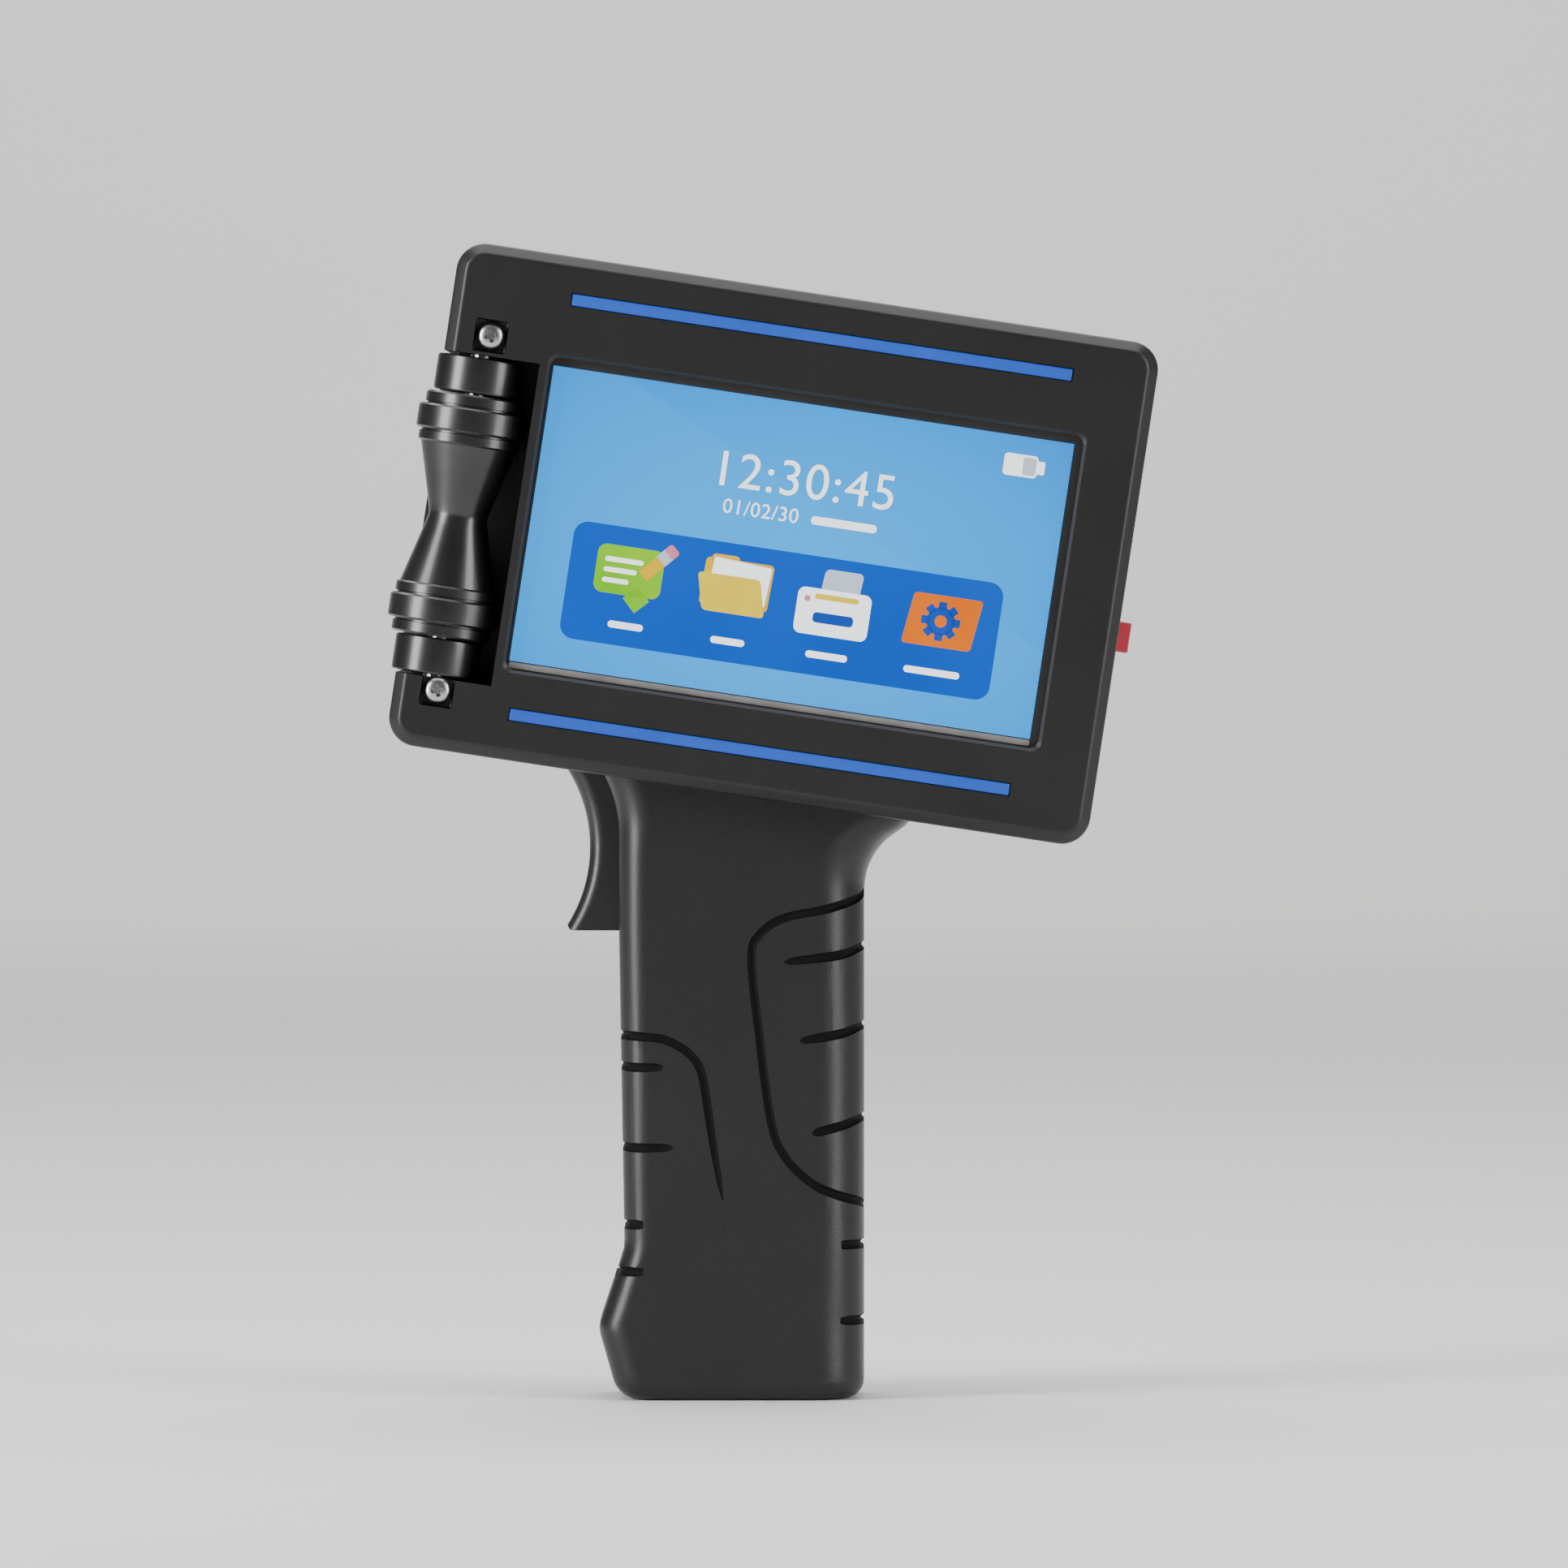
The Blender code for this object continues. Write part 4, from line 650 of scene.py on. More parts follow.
def groove(points, radius=0.92 * MM, lift=0.42 * MM, run_in=0.0, run_out=0.0):
    """A round-bottomed groove along points of (distance, height) in millimetres.

    It comes up to the skin over a share of its length at either end.
    """
    curve = bpy.data.curves.new("groove", "CURVE")
    curve.dimensions = "3D"
    curve.bevel_depth = radius
    curve.bevel_resolution = 3
    curve.use_fill_caps = True
    smooth = smooth_path([Vector((d, z)) for d, z in points])
    line = curve.splines.new("POLY")
    line.points.add(len(smooth) - 1)
    for i, (point, target) in enumerate(zip(smooth, line.points)):
        share = i / (len(smooth) - 1)
        start = max(1 - share / run_in, 0.0) if run_in else 0.0
        end = max(1 - (1 - share) / run_out, 0.0) if run_out else 0.0
        rise = lift + 0.46 * MM * max(start, end) ** 1.5
        target.co = (*skin_point(point.x * MM, point.y * MM, rise), 1.0)
    piece = bpy.data.objects.new("groove", curve)
    bpy.context.scene.collection.objects.link(piece)
    activate(piece)
    bpy.ops.object.convert(target="MESH")
    edit(piece)
    bpy.ops.mesh.select_all(action="SELECT")
    bpy.ops.mesh.remove_doubles(threshold=HAIR)
    done()
    # The cutter's darker material passes to the faces it cuts: painted shade in the grooves.
    piece.data.materials.append(GROOVE_SHADE)
    return face_outwards(piece)


def smooth_path(points, steps=6):
    """A curve through the points, with a few steps between each pair."""
    path = []
    padded = [points[0] * 2 - points[1]] + points + [points[-1] * 2 - points[-2]]
    for before, start, end, after in zip(padded, padded[1:], padded[2:], padded[3:]):
        for step in range(steps):
            t = step / steps
            a = 2 * start
            b = end - before
            c = 2 * before - 5 * start + 4 * end - after
            d = 3 * start - before - 3 * end + after
            path.append((a + b * t + c * t * t + d * t ** 3) / 2)
    return path + [points[-1]]


SIDE = 41.0
RIGHT_PAD = [(SIDE, 94.5), (30, 93.0), (22, 91.0), (15, 89.2), (7.5, 87.6), (3.2, 84.6), (1.8, 80.3),
             (3.2, 66.3), (5.4, 50.5), (8.0, 44.2), (12.7, 39.6), (17.5, 37.4), (24, 36.0), (30, 35.0),
             (SIDE, 34.0)]
LEFT_PAD = [(-SIDE, 66.8), (-28, 66.6), (-17.2, 66.1), (-13.1, 65.3), (-9.4, 63.0), (-7.3, 59.7),
            (-6.1, 53.0), (-4.9, 45.0), (-3.4, 36.5)]
RIGHT_RIBS = [(79.7, 7.8, 3.1), (65.4, 10.7, 3.0), (48.6, 13.0, 3.1)]
LEFT_RIBS = [(60.6, -14.4, 0.5), (46.0, -12.6, 0.4)]
SIDE_NOTCHES = [(28.3, 18.5), (14.5, 18.5), (32.0, -18.0), (23.5, -18.0)]


def grip_grooves():
    """Finger pads outlined on both flanks, with short ribs between them."""
    cutters = [groove(RIGHT_PAD), groove(LEFT_PAD, run_out=0.25)]
    for z, start, climb in RIGHT_RIBS:
        path = [(start, z), (18.0, z + climb * 0.4), (26.0, z + climb * 0.9), (SIDE, z + climb)]
        cutters.append(groove(path, run_in=0.09))
    for z, start, climb in LEFT_RIBS:
        path = [(start, z), (-20.0, z), (-28.0, z + climb), (-SIDE, z + climb)]
        cutters.append(groove(path, run_in=0.09))
    for z, start in SIDE_NOTCHES:
        side = 1 if start > 0 else -1
        path = [(start, z), (side * 26.0, z), (side * 34.0, z), (side * SIDE, z)]
        cutters.append(groove(path, lift=0.2 * MM, run_in=0.12))
    return cutters


# ---------------------------------------------------------------- housing
def window_cutter():
    """The window, flared at its front edge so that the frame has a thin bright bevel."""
    low, high = SCREEN_BOX
    lip = 3.4 * MM
    flare = 0.55 * MM
    piece = cube((low.x + 0.05 * MM, -HALF.y - FAR, low.z + lip),
                 (high.x - lip, low.y + 2 * MM, high.z - lip))
    edit(piece)
    bevel_edges(lambda e: along(e, 1), 1.8 * MM, 6)
    pick("FACE", lambda f: f.normal.y < -0.9)
    middle = (low + high) / 2
    width, height = high.x - low.x - lip, high.z - low.z - 2 * lip
    bpy.ops.transform.translate(value=(0, FAR + flare, 0))
    bpy.ops.mesh.extrude_region_move(TRANSFORM_OT_translate={"value": (0, -2 * flare, 0)})
    bpy.ops.transform.resize(value=(1 + 4 * flare / width, 1, 1 + 4 * flare / height),
                             center_override=(middle.x - lip / 2, 0, middle.z))
    bpy.ops.mesh.extrude_region_move(TRANSFORM_OT_translate={"value": (0, -FAR, 0)})
    done()
    return put(piece, HEAD)


def pockets(side, name):
    """Square pockets for the bracket screws of one roller."""
    cutters = []
    for label in ("upper", "lower"):
        low, high = head_box(f"{name}_{label}_bracket_screw")
        middle = (low + high) / 2
        half = 3.0 * MM
        front, back = mirrored(HALF.y - 2.1 * MM, HALF.y + FAR, side)
        pocket = cube((middle.x - half, front, middle.z - half), (middle.x + half, back, middle.z + half))
        cutters.append(put(soften(pocket, 0.5 * MM), HEAD))
    return cutters


def inlay_grooves():
    gap = 0.12 * MM
    return [head_cube((low.x - gap, -HALF.y - FAR, low.z - gap),
                      (high.x + gap, high.y + 0.2 * MM, high.z + gap))
            for low, high in STRIPS.values()]


def outer_edges(piece, y, width):
    """Bevel the outer edge of the cut at a parting plane, so that a fine seam shows."""
    edit(piece)
    bevel_edges(lambda e: sharp(e, 1.0) and lies_at(e, 1, y), width, 2)
    done()


def front_cover(solid, room):
    piece = slice_off(copy_of(solid), COVER_BACK, keep_front=True)
    outer_edges(piece, COVER_BACK, SEAM)
    carve(piece, room, keep=True)
    carve(piece, window_cutter(), bay_block(-1, BAY_MID, BAY_INNER, BAY_LOW, BAY_HIGH))
    carve(piece, *pockets(-1, "front"), *inlay_grooves())
    finish_piece(piece, "front_cover", "housing", COVER, replaces=("front_bezel",))


def trigger_slot():
    low, high = TRIGGER_BOX
    gap = 0.6 * MM
    return cube((low.x - 1.8 * MM, low.y - gap, low.z - MM),
                (high.x - 2 * MM, high.y + gap, high.z - 5 * MM))


def nozzle_opening():
    low, high = head_box("nozzle_plate")
    inner = -HALF.x + NOZZLE_RECESS + WALL + MM
    edge, end = 0.6 * MM, 3 * MM
    return head_cube((low.x - FAR, low.y + edge, low.z + end), (inner, high.y - edge, high.z - end))


def cap_opening():
    low, high = world_box("base_cap")
    gap = 0.25 * MM
    piece = cube((low.x - gap, low.y - gap, -FAR), (high.x + gap, high.y + gap, high.z + 2 * MM))
    edit(piece)
    bevel_edges(lambda e: along(e, 2), 3.3 * MM, 8)
    done()
    return piece


def housing_half(name, solid, rooms, side):
    """One half of the moulded housing: head walls and half of the grip."""
    near, far = (HOUSING_FRONT, HOUSING_MIDDLE) if side < 0 else (-HOUSING_MIDDLE, None)
    piece = slice_off(copy_of(solid), near, keep_front=False)
    outer_edges(piece, near, SEAM)
    if far is not None:
        slice_off(piece, far, keep_front=True)
        outer_edges(piece, far, 0.3 * MM)
    carve(piece, *rooms, keep=True)
    label = "front" if side < 0 else "rear"
    carve(piece, bay_block(side, BAY_MID, BAY_INNER, BAY_LOW, BAY_HIGH), nozzle_recess())
    carve(piece, trigger_slot(), nozzle_opening(), cap_opening())
    for cutter in grip_grooves():
        if side > 0:
            face_outwards(put(cutter, Matrix.Scale(-1, 4, (0, 1, 0))))
        carve(piece, cutter)
    if side > 0:
        carve(piece, *pockets(1, "rear"), *rear_openings())
    finish_piece(piece, f"{label}_half", "housing", BLACK, replaces=(name,))


def screw_seat(node, matrix, radius=2.9 * MM):
    """A round counterbore over a screw that goes in from behind."""
    low, high = box_in(node, matrix)
    middle = (low + high) / 2
    seat = high.y - 1.6 * MM
    bore = cylinder(radius, (middle.x, seat, middle.z), (middle.x, seat + FAR, middle.z), 40)
    return put(bore, matrix)


REAR_SCREWS = [f"housing_screw_{level}_{side}"
               for level in ("upper", "lower") for side in ("left", "right")]
GRIP_SCREWS = ["grip_screw_left", "grip_screw_right"]


def rear_openings():
    """Door, switch, sockets and screw seats in the rear half."""
    low, high = DOOR_BOX
    gap = 0.3 * MM
    edge = high.x + 0.7 * MM
    cutters = [head_cube((low.x - gap, HALF.y - 8 * MM, low.z - gap), (edge, HALF.y + FAR, high.z + gap))]
    inner, outer, slack = HALF.x - 3 * WALL, HALF.x + FAR, 0.15 * MM
    for node in ("rocker_frame", "usb_port"):
        box_low, box_high = head_box(node)
        cutters.append(head_cube((inner, box_low.y - slack, box_low.z - slack),
                                 (outer, box_high.y + slack, box_high.z + slack)))
    jack_low, jack_high = head_box("dc_jack")
    middle = (jack_low + jack_high) / 2
    radius = (jack_high.z - jack_low.z) / 2 + slack
    bore = cylinder(radius, (inner, middle.y, middle.z), (outer, middle.y, middle.z), 48)
    cutters.append(put(bore, HEAD))
    cutters += [screw_seat(node, HEAD) for node in REAR_SCREWS]
    cutters += [screw_seat(node, HERE) for node in GRIP_SCREWS]
    return cutters


def housing():
    head = head_solid()
    room = hollow()
    front_cover(head, room)
    solid = weld(head, grip_solid())
    grip_room = grip_solid(WALL, 3.6 * MM, GRIP_TOP + 2 * MM)
    for name, side in (("front_housing", -1), ("rear_housing", 1)):
        housing_half(name, solid, (room, grip_room), side)
    for spare in (solid, room, grip_room):
        bpy.data.objects.remove(spare, do_unlink=True)


def inlay_strips():
    for label, (low, high) in STRIPS.items():
        piece = soften(cube(low + Vector((0, 0.12 * MM, 0)), high), 0.22 * MM, 3)
        finish_piece(piece, f"blue_strip_{label}", "housing", BLUE, HEAD,
                     (f"accent_strip_{label}",))


# ---------------------------------------------------------------- guide rollers
def roller_profile(length):
    """Half an hourglass: stepped rings at the end, a straight cone, a soft waist."""
    end = length / 2
    rim, ring, step = 8.95 * MM, 10.0 * MM, 9.3 * MM
    chamfer = 0.35 * MM
    half = [(rim - chamfer, end), (rim, end - chamfer), (rim, end - 2.0 * MM),
            (rim - 0.35 * MM, end - 2.1 * MM), (rim - 0.35 * MM, end - 2.4 * MM),
            (ring - chamfer, end - 2.45 * MM), (ring, end - 2.8 * MM),
            (ring, end - 6.6 * MM), (ring - chamfer, end - 6.95 * MM), (step - 0.4 * MM, end - 7.0 * MM),
            (step - 0.4 * MM, end - 7.3 * MM), (step, end - 7.4 * MM), (step, end - 8.9 * MM),
            (step - 0.3 * MM, end - 9.2 * MM), (8.7 * MM, end - 9.25 * MM)]
    top = end - 9.25 * MM
    waist = 5.2 * MM
    for share in (0.9, 0.7, 0.5, 0.3, 0.16, 0.11, 0.07, 0.035, 0.0):
        cone = waist + (8.7 * MM - waist) * share
        half.append((cone + 0.10 * MM * max(1 - share / 0.16, 0) ** 2, top * share))
    return half


def guide_rollers():
    for side, place in ROLLER.items():
        half = roller_profile(ROLLER_BOX[1].z - ROLLER_BOX[0].z)
        whole = [(radius, -height) for radius, height in half] + [(r, h) for r, h in reversed(half[:-1])]
        piece = carve(turned(whole, 96), cylinder(2.3 * MM, (0, 0, -FAR * 2), (0, 0, FAR * 2), 48))
        finish_piece(piece, f"{side}_hourglass", f"{side}_roller", ROLLER_BLACK,
                     HEAD @ Matrix.Translation(place), (f"{side}_guide_roller",), angle=22)
        for end in ("upper", "lower"):
            collar(side, end, place)


def collar(side, end, place):
    node = f"{side}_{end}_collar"
    low, high = head_box(node)
    radius, length = (high.y - low.y) / 2, high.z - low.z
    chamfer = 0.5 * MM
    eased_in, eased_up = 0.15 * MM, 0.12 * MM
    profile = [(radius - chamfer, 0), (radius - eased_in, eased_up), (radius, chamfer),
               (radius, length - chamfer), (radius - eased_in, length - eased_up),
               (radius - chamfer, length)]
    piece = carve(turned(profile, 72), cylinder(2.3 * MM, (0, 0, -FAR), (0, 0, FAR), 48))
    finish_piece(piece, f"{side}_{end}_end_collar", "housing", ROLLER_BLACK,
                 HEAD @ Matrix.Translation((place.x, place.y, low.z)), (node,), angle=25)


# ---------------------------------------------------------------- screws
def pan_screw(head_radius, head_height, shank_radius, length):
    """A domed cross-head screw whose head ends at the origin and points up."""
    profile = [(shank_radius * 0.4, -length), (shank_radius, -length + shank_radius),
               (shank_radius, -head_height - 0.05 * MM), (head_radius * 0.98, -head_height)]
    for step in range(8):
        angle = math.radians(8 + 11 * step)
        profile.append((head_radius * math.cos(angle) ** 0.6, -head_height + head_height * math.sin(angle)))
    piece = turned(profile, 40)
    long, thin, deep = head_radius * 0.60, head_radius * 0.16, head_height * 0.80
    for turn in (0, math.pi / 2):
        arm = cube((-long, -thin, -deep), (long, thin, MM))
        edit(arm)
        pick("FACE", lambda f: f.normal.z < -0.9)
        bpy.ops.transform.resize(value=(0.45, 0.7, 1))
        done()
        carve(piece, put(arm, Matrix.Rotation(turn + 0.35, 4, "Z")))
    return piece


def facing(direction):
    return Vector(direction).to_track_quat("Z", "Y").to_matrix().to_4x4()


def fit_screw(piece, name, node, matrix, direction, material):
    """Put a screw's head on the outer end of its node."""
    low, high = box_in(node, matrix)
    place = (low + high) / 2
    for axis, way in enumerate(direction):
        if way:
            place[axis] = (high if way > 0 else low)[axis]
    finish_piece(piece, name, "housing", material,
                 matrix @ Matrix.Translation(place) @ facing(direction), (node,))


def screws():
    size = (2.6 * MM, 1.6 * MM, 1.25 * MM)
    model = pan_screw(*size, 5.0 * MM)
    for side, sign in (("front", -1), ("rear", 1)):
        for label in ("upper", "lower"):
            name = f"{side}_{label}"
            fit_screw(copy_of(model), f"{name}_cross_screw", f"{name}_bracket_screw", HEAD,
                      (0, sign, 0), STEEL)
    for node in REAR_SCREWS + GRIP_SCREWS:
        matrix = HEAD if node in REAR_SCREWS else HERE
        low, high = box_in(node, matrix)
        fit_screw(pan_screw(*size, high.y - low.y), f"{node}_cross", node, matrix, (0, 1, 0), DULL_STEEL)
    for node in ("base_screw_left", "base_screw_right"):
        fit_screw(copy_of(model), f"{node}_cross", node, HERE, (0, 0, -1), DULL_STEEL)
    bpy.data.objects.remove(model, do_unlink=True)


# ---------------------------------------------------------------- trigger, door, switch, base
def trigger():
    low, high = TRIGGER_BOX
    pivot = Vector(JOINTS["trigger_pull"]["pos_m"])
    piece = cube((low.x, low.y, low.z), (high.x, high.y, pivot.z - 2 * MM))
    radius = 26.6 * MM
    deepest, middle = -27.7 * MM, 100.3 * MM
    half, round_over = (high.y - low.y) / 2, 2.7 * MM
    turns = [math.radians(angle) for angle in range(90, -1, -10)]
    side = [(radius + round_over * (1 - math.cos(t)), half - round_over * (1 - math.sin(t)))
            for t in turns]
    rim = radius + round_over
    whole = [(rim, -FAR)] + [(r, -y) for r, y in side] + [(r, y) for r, y in reversed(side)] + [(rim, FAR)]
    finger = turned(whole, 160)
    turn = Matrix.Translation((deepest - radius, 0, middle)) @ Matrix.Rotation(math.pi / 2, 4, "X")
    carve(piece, put(finger, turn))
    edit(piece)
    bpy.ops.mesh.select_all(action="SELECT")
    bpy.ops.mesh.bisect(plane_co=(low.x + 0.9 * MM, 0, low.z), plane_no=(-0.9, 0, -0.44), use_fill=True,
                        clear_outer=True)
    pick("EDGE", lambda e: along(e, 1) and e.calc_face_angle(0) > 0.4
         and max(v.co.x for v in e.verts) < low.x + 3 * MM)
    bpy.ops.mesh.bevel(offset=0.45 * MM, segments=4, clamp_overlap=False)
    done()
    inset = 0.5 * MM
    hub = cylinder(4.2 * MM, (pivot.x, low.y + inset, pivot.z), (pivot.x, high.y - inset, pivot.z), 48)
    weld(piece, hub)
    carve(piece, cylinder(1.8 * MM, (pivot.x, -FAR, pivot.z), (pivot.x, FAR, pivot.z), 32))
    finish_piece(piece, "trigger_lever", "trigger", TRIGGER_BLACK, replaces=("trigger",))


def ink_door():
    low, high = DOOR_BOX
    axis = joint_place("door_swing")
    piece = cube((low.x, HALF.y - 1.9 * MM, low.z), (axis.x, HALF.y, high.z))
    edit(piece)
    bevel_edges(lambda e: lies_at(e, 1, HALF.y), 0.4 * MM, 3)
    done()
    thumb_x = low.x - 3 * MM
    carve(piece, cylinder(7.0 * MM, (thumb_x, HALF.y - FAR, axis.z),
                          (thumb_x, HALF.y + FAR, axis.z), 80))
    weld(piece, cylinder(1.8 * MM, (axis.x, axis.y, low.z), (axis.x, axis.y, high.z), 32))
    carve(piece, cylinder(1.05 * MM, (axis.x, axis.y, low.z - FAR), (axis.x, axis.y, high.z + FAR), 24))
    half_rib = 0.45 * MM
    for row in range(5):
        w = axis.z + (row - 2) * 2.4 * MM
        carve(piece, cube((low.x + 9 * MM, HALF.y - half_rib, w - half_rib),
                          (low.x + 19 * MM, HALF.y + FAR, w + half_rib)))
    finish_piece(piece, "ink_door", "cartridge_door", BLACK, HEAD, ("cartridge_door",))


def power_switch():
    """Red rocker, tilted to one side, with a white line on its outer half."""
    centre = joint_place("power_rock")
    half = Vector((2.0, 6.2, 2.8)) * MM
    piece = cube(-half, half)
    edit(piece)
    pick("FACE", lambda f: f.normal.x > 0.9)
    bpy.ops.mesh.subdivide(number_cuts=9)
    inner = half - Vector((HAIR, HAIR, HAIR))
    pick("VERT", lambda v: v.co.x > inner.x and abs(v.co.y) < inner.y and abs(v.co.z) < inner.z)
    mesh = bpy.context.object.data
    bm = bmesh.from_edit_mesh(mesh)
    for vertex in bm.verts:
        if vertex.select:
            vertex.co.x -= 0.35 * MM * (1 - (vertex.co.y / half.y) ** 2)
    bmesh.update_edit_mesh(mesh)
    done()
    soften(piece, 0.35 * MM, 3, angle=50)
    place = HEAD @ Matrix.Translation(centre) @ Matrix.Rotation(math.radians(8), 4, "Z")
    finish_piece(piece, "red_power_rocker", "power_rocker", RED, place, ("power_rocker",))
    line = 0.3 * MM
    mark = cube((half.x - line, -5.0 * MM, -line), (half.x + 0.02 * MM, -2.0 * MM, line))
    finish_piece(soften(mark, 0.05 * MM, 2), "rocker_mark", "power_rocker", WHITE_INK, place)


def base_cap():
    low, high = world_box("base_cap")
    piece = cube(low, high)
    edit(piece)
    bevel_edges(lambda e: along(e, 2), 3.3 * MM, 8)
    bevel_edges(lambda e: sharp(e, 1.2) and max(v.co.z for v in e.verts) < 0.1 * MM, 0.3 * MM, 2)
    done()
    for node in ("base_screw_left", "base_screw_right"):
        middle = sum(world_box(node), Vector()) / 2
        carve(piece, cylinder(1.6 * MM, (middle.x, 0, -FAR), (middle.x, 0, FAR), 32),
              cylinder(2.9 * MM, (middle.x, 0, -FAR), (middle.x, 0, 2.0 * MM), 40))
    finish_piece(piece, "grip_base_cap", "housing", BLACK, replaces=("base_cap",))


def nozzle_plate():
    low, high = head_box("nozzle_plate")
    piece = cube(low, high)
    edit(piece)
    bevel_edges(lambda e: along(e, 0), 2.0 * MM, 6)
    bevel_edges(lambda e: sharp(e, 1.2) and lies_at(e, 0, low.x), 0.5 * MM, 4)
    done()
    middle = (low + high) / 2
    slot = cube((low.x - FAR, -3 * MM, middle.z - 8 * MM), (high.x + FAR, 3 * MM, middle.z + 8 * MM))
    carve(piece, slot)
    sink = -HALF.x + NOZZLE_RECESS - 0.3 * MM - low.x
    finish_piece(piece, "nozzle_guard", "housing", GUARD_STEEL,
                 HEAD @ Matrix.Translation((sink, 0, 0)), ("nozzle_plate",))


# ---------------------------------------------------------------- the lit screen
LIT_LOW = Vector((SCREEN_BOX[0].x + 0.6 * MM, 0, SCREEN_BOX[0].z + 5.0 * MM))
LIT_HIGH = Vector((SCREEN_BOX[1].x - 5.0 * MM, 0, SCREEN_BOX[1].z - 5.0 * MM))
LIT_WIDTH = LIT_HIGH.x - LIT_LOW.x
LIT_HEIGHT = LIT_HIGH.z - LIT_LOW.z
LAYER = 0.05 * MM


def on_screen(across, down, layer):
    """A point of the lit area: shares of its width and height from the top left."""
    return Vector((LIT_LOW.x + across * LIT_WIDTH, SCREEN_BOX[0].y - layer * LAYER,
                   LIT_HIGH.z - down * LIT_HEIGHT))


def patch(across, down, width, height, layer, corner=0.0, lean=0.0, turn=0.0, segments=6):
    """A flat patch, sized in millimetres and centred on a point of the lit area."""
    middle = on_screen(across, down, layer)
    half = Vector((width / 2, 0, height / 2)) * MM
    piece = cube((-half.x, 0, -half.z), (half.x, LAYER * 0.8, half.z))
    edit(piece)
    if lean:
        pick("VERT", lambda v: v.co.z > 0)
        bpy.ops.transform.translate(value=(lean * MM, 0, 0))
    if corner:
        bevel_edges(lambda e: along(e, 1), corner * MM, segments)
    done()
    return put(piece, Matrix.Translation(middle) @ Matrix.Rotation(turn, 4, "Y"))


def shift(piece, right, up):
    return put(piece, Matrix.Translation((right * MM, 0, up * MM)))


def merged(pieces):
    activate(pieces[0])
    for piece in pieces:
        piece.select_set(True)
    bpy.ops.object.join()
    return bpy.context.object


def show(name, material, *pieces):
    finish_piece(merged(pieces), name, "housing", material, HEAD)


def words(text, across, down, height, layer, spread=1.0):
    """Plain figures, made a mesh and laid on the lit area."""
    select_nothing()
    bpy.ops.object.text_add()
    line = bpy.context.object
    line.data.body = text
    line.data.align_x = "CENTER"
    line.data.align_y = "CENTER"
    line.data.size = height * MM * 1.38
    line.data.space_character = spread
    line.data.extrude = LAYER * 0.4
    bpy.ops.object.convert(target="MESH")
    piece = bpy.context.object
    middle = on_screen(across, down, layer)
    return put(piece, Matrix.Translation(middle) @ Matrix.Rotation(math.pi / 2, 4, "X"))


def display_ground():
    low, high = SCREEN_BOX
    surround = soften(cube(low, high), 0.2 * MM, 2)
    finish_piece(surround, "screen_surround", "housing", COMPONENT, HEAD,
                 ("touch_glass",))
    ground = cube((LIT_LOW.x, low.y - LAYER, LIT_LOW.z), (LIT_HIGH.x, low.y + LAYER, LIT_HIGH.z))
    soften(ground, LAYER * 0.3, 1)
    finish_piece(ground, "screen_ground", "housing", SKY, HEAD)
    width, height = 0.825 * LIT_WIDTH / MM, 0.397 * LIT_HEIGHT / MM
    show("menu_panel", PANEL, patch(0.4975, 0.6985, width, height, 2, corner=2.6, segments=8))


def display_edge():
    """The bright lower edge of the display's own frame."""
    edge = patch(0.5, 1 + 0.75 * MM / LIT_HEIGHT, LIT_WIDTH / MM, 1.1, 1, corner=0.3, segments=2)
    finish_piece(edge, "screen_lower_edge", "housing", EDGE_GREY, HEAD)


def clock():
    show("clock_figures", WHITE, words("12:30:45", 0.503, 0.262, 6.6, 3, 1.08),
         words("01/02/30", 0.430, 0.381, 2.7, 3, 1.05), patch(0.590, 0.383, 12.0, 1.5, 3, corner=0.7))
    show("battery_sign", WHITE, patch(0.905, 0.098, 6.2, 4.0, 3, corner=0.7),
         patch(0.944, 0.098, 1.4, 2.4, 3, corner=0.3))
    show("battery_level", PALE, patch(0.922, 0.098, 2.4, 3.2, 4, corner=0.4))


ICONS = {"note": 0.208, "folder": 0.404, "printer": 0.594, "gear": 0.796}
ICON_DOWN = 0.655
LABEL_WIDTHS = (6.4, 6.2, 7.6, 10.2)


def icons():
    show("menu_labels", WHITE, *[patch(across, 0.828, width, 1.25, 3, corner=0.6)
                                 for across, width in zip(ICONS.values(), LABEL_WIDTHS)])
    note_icon(ICONS["note"])
    folder_icon(ICONS["folder"])
    printer_icon(ICONS["printer"])
    gear_icon(ICONS["gear"])


def bit(across, width, height, layer, right=0.0, up=0.0, **shape):
    """One patch of an icon, moved from the icon's middle."""
    return shift(patch(across, ICON_DOWN, width, height, layer, **shape), right, up)


def note_icon(across):
    show("note_bubble", GREEN, patch(across - 0.008, ICON_DOWN - 0.01, 12.2, 8.8, 3, corner=1.6),
         bit(across, 3.4, 3.4, 3, 1.2, -4.4, turn=math.radians(45)))
    lines = ((7.0, -1.9, 2.3), (6.0, -2.4, 0.4), (4.8, -3.0, -1.5))
    show("note_lines", WHITE, *[bit(across, width, 0.9, 4, right, up, corner=0.4)
                                for width, right, up in lines])
    turn = math.radians(-48)
    show("pencil_wood", YELLOW, bit(across, 5.4, 2.3, 5, 3.6, 2.0, turn=turn))
    show("pencil_band", PALE, bit(across, 2.0, 2.4, 6, 5.3, 3.9, turn=turn))
    show("pencil_rubber", PINK, bit(across, 1.9, 2.4, 6, 6.4, 5.1, corner=0.6, turn=turn))


def folder_icon(across):
    show("folder_back", YELLOW, patch(across, ICON_DOWN - 0.02, 12.4, 8.6, 3, corner=0.8, lean=0.3),
         bit(across, 5.0, 3.0, 3, -2.4, 4.6, corner=0.7))
    show("folder_paper", WHITE, bit(across, 10.6, 7.2, 4, 0.6, 1.6, corner=0.4, turn=math.radians(4)))
    show("folder_front", PALE_YELLOW, bit(across, 11.4, 6.8, 5, 0.2, -0.9, corner=0.8, lean=-1.6))


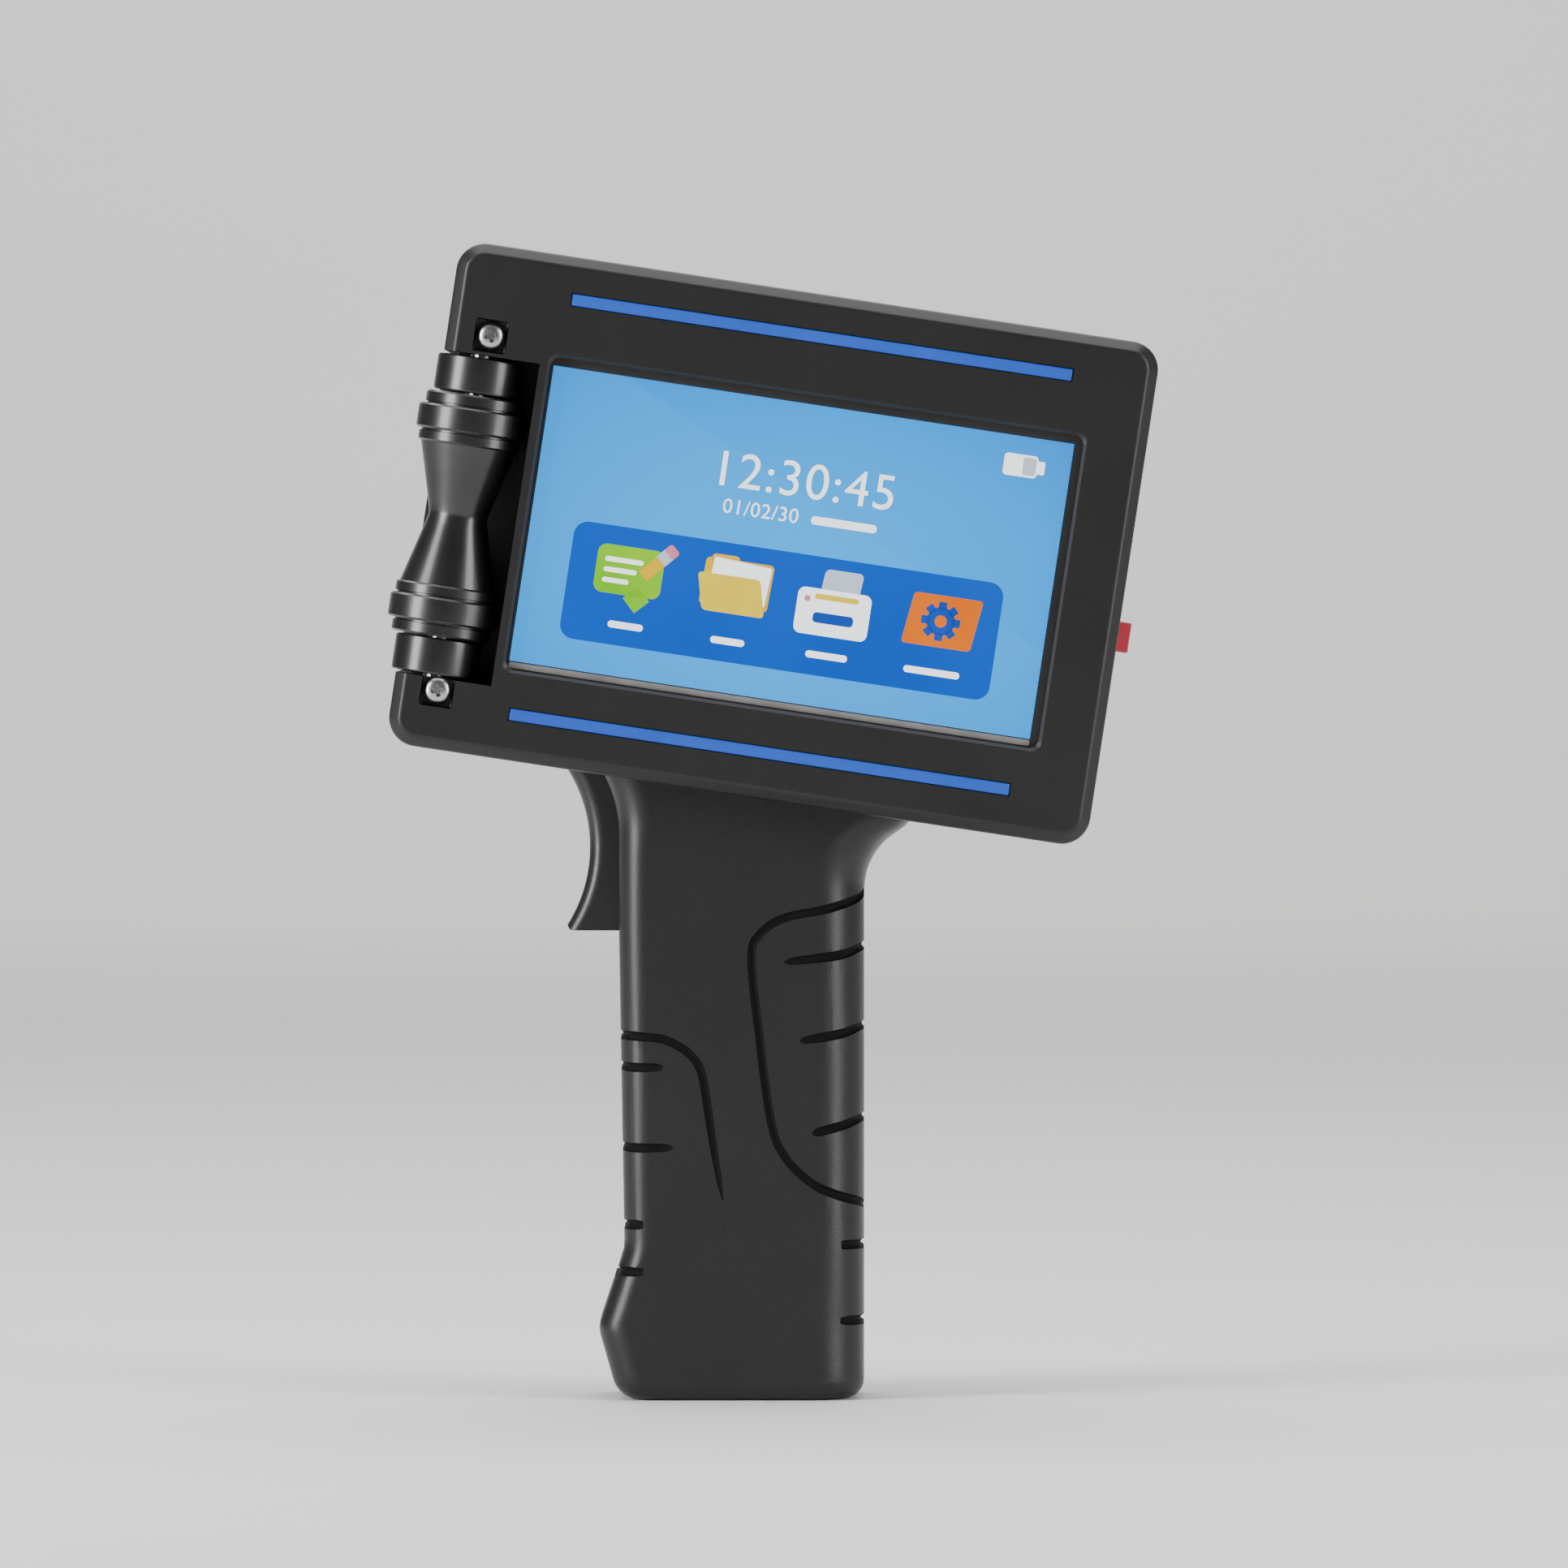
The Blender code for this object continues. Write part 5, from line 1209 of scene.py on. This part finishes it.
def printer_icon(across):
    show("printer_paper", PALE, bit(across, 7.0, 6.6, 3, 0.6, 3.0, corner=0.9, lean=0.6))
    show("printer_body", WHITE, bit(across, 13.4, 8.4, 4, 0.0, -1.6, corner=1.3))
    show("printer_slot", PALE_YELLOW, bit(across, 8.0, 1.0, 5, 0.4, 1.2, corner=0.4))
    show("printer_tray", DEEP_BLUE, bit(across, 7.4, 1.9, 5, 0.2, -2.6, corner=0.7))
    show("printer_light", PINK, bit(across, 1.1, 1.1, 5, -4.9, 0.6, corner=0.5))


def gear_icon(across):
    show("gear_tile", ORANGE, bit(across, 12.6, 9.4, 3, corner=0.7, lean=1.2))
    teeth = []
    reach, aside = 2.8, 0.3
    for i in range(8):
        turn = math.pi * i / 4
        teeth.append(bit(across, 1.5, 1.5, 4, reach * math.sin(turn) + aside, reach * math.cos(turn),
                         corner=0.2, turn=turn))
    half_layer, far = Vector((0, LAYER * 0.4, 0)), Vector((0, FAR, 0))
    middle = on_screen(across, ICON_DOWN, 4) + Vector((aside * MM, 0, 0)) + half_layer
    ring = cylinder(2.6 * MM, middle - half_layer, middle + half_layer, 40)
    carve(ring, cylinder(1.1 * MM, middle - far, middle + far, 32))
    show("gear_wheel", DEEP_BLUE, *teeth, ring)


# ---------------------------------------------------------------- what stays from the frame
KEPT = {
    STEEL: ("front_roller_axle", "rear_roller_axle", "trigger_pin", "door_hinge_pin", "trigger_spring",
            "usb_port"),
    BOARD: ("main_board", "contact_board", "encoder_board", "battery_board"),
    INK_SHELL: ("ink_cartridge",),
    GREY: ("cartridge_cradle", "cartridge_latch", "battery_holder", "rocker_contact_block", "lcd_module"),
    COMPONENT: ("buzzer", "dc_jack", "trigger_switch", "battery_lead", "rocker_frame"),
    RED: ("switch_plunger",),
    WRAP: ("battery_cell_left", "battery_cell_right"),
    MAGNET: ("encoder_magnet",),
}


def paint_kept():
    for material, nodes in KEPT.items():
        for name in nodes:
            node = frame["nodes"][name]
            node.data.materials.clear()
            node.data.materials.append(material)


# ---------------------------------------------------------------- studio
FLOOR = 8.0
WALL_Y = 4.4


def studio():
    floor_finish = Finish("studio_paper", Roughness=0.9)
    tone = floor_finish.noise(floor_finish.place(), 3.0, 2.0)
    floor_finish.set(Base_Color=floor_finish.blend(tone, (0.74, 0.73, 0.71), (0.78, 0.77, 0.75)))
    select_nothing()
    bpy.ops.mesh.primitive_plane_add(size=FLOOR, location=(0, WALL_Y - FLOOR / 2, 0))
    floor = settle()
    edit(floor)
    pick("EDGE", lambda e: lies_at(e, 1, WALL_Y))
    bpy.ops.mesh.extrude_region_move(TRANSFORM_OT_translate={"value": (0, 0, 3)})
    bevel_edges(lambda e: lies_at(e, 1, WALL_Y) and lies_at(e, 2, 0), 1.2, 16)
    done()
    bpy.ops.object.shade_smooth()
    floor.name = "studio_floor"
    floor.data.materials.append(floor_finish.material)
    world = bpy.data.worlds.new("studio")
    bpy.context.scene.world = world
    world.use_nodes = True
    room = world.node_tree
    lighting = room.nodes["Background"]
    lighting.inputs["Color"].default_value = (0.90, 0.93, 1.0, 1)
    lighting.inputs["Strength"].default_value = 0.14
    seen = room.nodes.new("ShaderNodeBackground")
    seen.inputs["Color"].default_value = (0.52, 0.52, 0.52, 1)
    chooser = room.nodes.new("ShaderNodeMixShader")
    room.links.new(room.nodes.new("ShaderNodeLightPath").outputs["Is Camera Ray"], chooser.inputs[0])
    room.links.new(lighting.outputs[0], chooser.inputs[1])
    room.links.new(seen.outputs[0], chooser.inputs[2])
    room.links.new(chooser.outputs[0], room.nodes["World Output"].inputs["Surface"])
    product = (0.0, 0.0, 0.12)
    wall = (0.0, 4.2, 0.1)
    soft_light("left_strip", (-0.98, -0.60, 0.22), 0.40, 1.3, 31, product)
    soft_light("right_strip", (0.98, -0.60, 0.22), 0.40, 1.3, 17, product)
    soft_light("overhead", (0.0, -0.10, 1.25), 1.2, 0.7, 11, product)
    soft_light("rear_overhead", (0.0, 1.0, 1.7), 2.4, 0.8, 30, product)
    soft_light("backdrop_light", (0.0, 2.9, 2.3), 3.0, 0.6, 70, wall)


def soft_light(name, place, width, height, power, target):
    light = bpy.data.lights.new(name, "AREA")
    light.shape = "RECTANGLE"
    light.size = width
    light.size_y = height
    light.energy = power
    lamp = bpy.data.objects.new(name, light)
    bpy.context.scene.collection.objects.link(lamp)
    lamp.location = place
    aim = Vector(target) - Vector(place)
    lamp.rotation_euler = aim.to_track_quat("-Z", "Y").to_euler()


def camera():
    """Nearly square-on to the screen, from far off, a little above its middle."""
    view = bpy.data.cameras.new("camera")
    view.lens = 300
    eye = bpy.data.objects.new("camera", view)
    bpy.context.scene.collection.objects.link(eye)
    middle = Vector((7.7, 0, 111.7)) * MM
    rise = math.radians(1.0)
    distance = 2.385
    eye.location = middle + Vector((0, -math.cos(rise), math.sin(rise))) * distance
    eye.rotation_euler = (math.pi / 2 - rise, 0, 0)
    bpy.context.scene.camera = eye


select_nothing()
camera()
studio()
housing()
inlay_strips()
guide_rollers()
screws()
trigger()
ink_door()
power_switch()
base_cap()
nozzle_plate()
display_ground()
display_edge()
clock()
icons()
paint_kept()
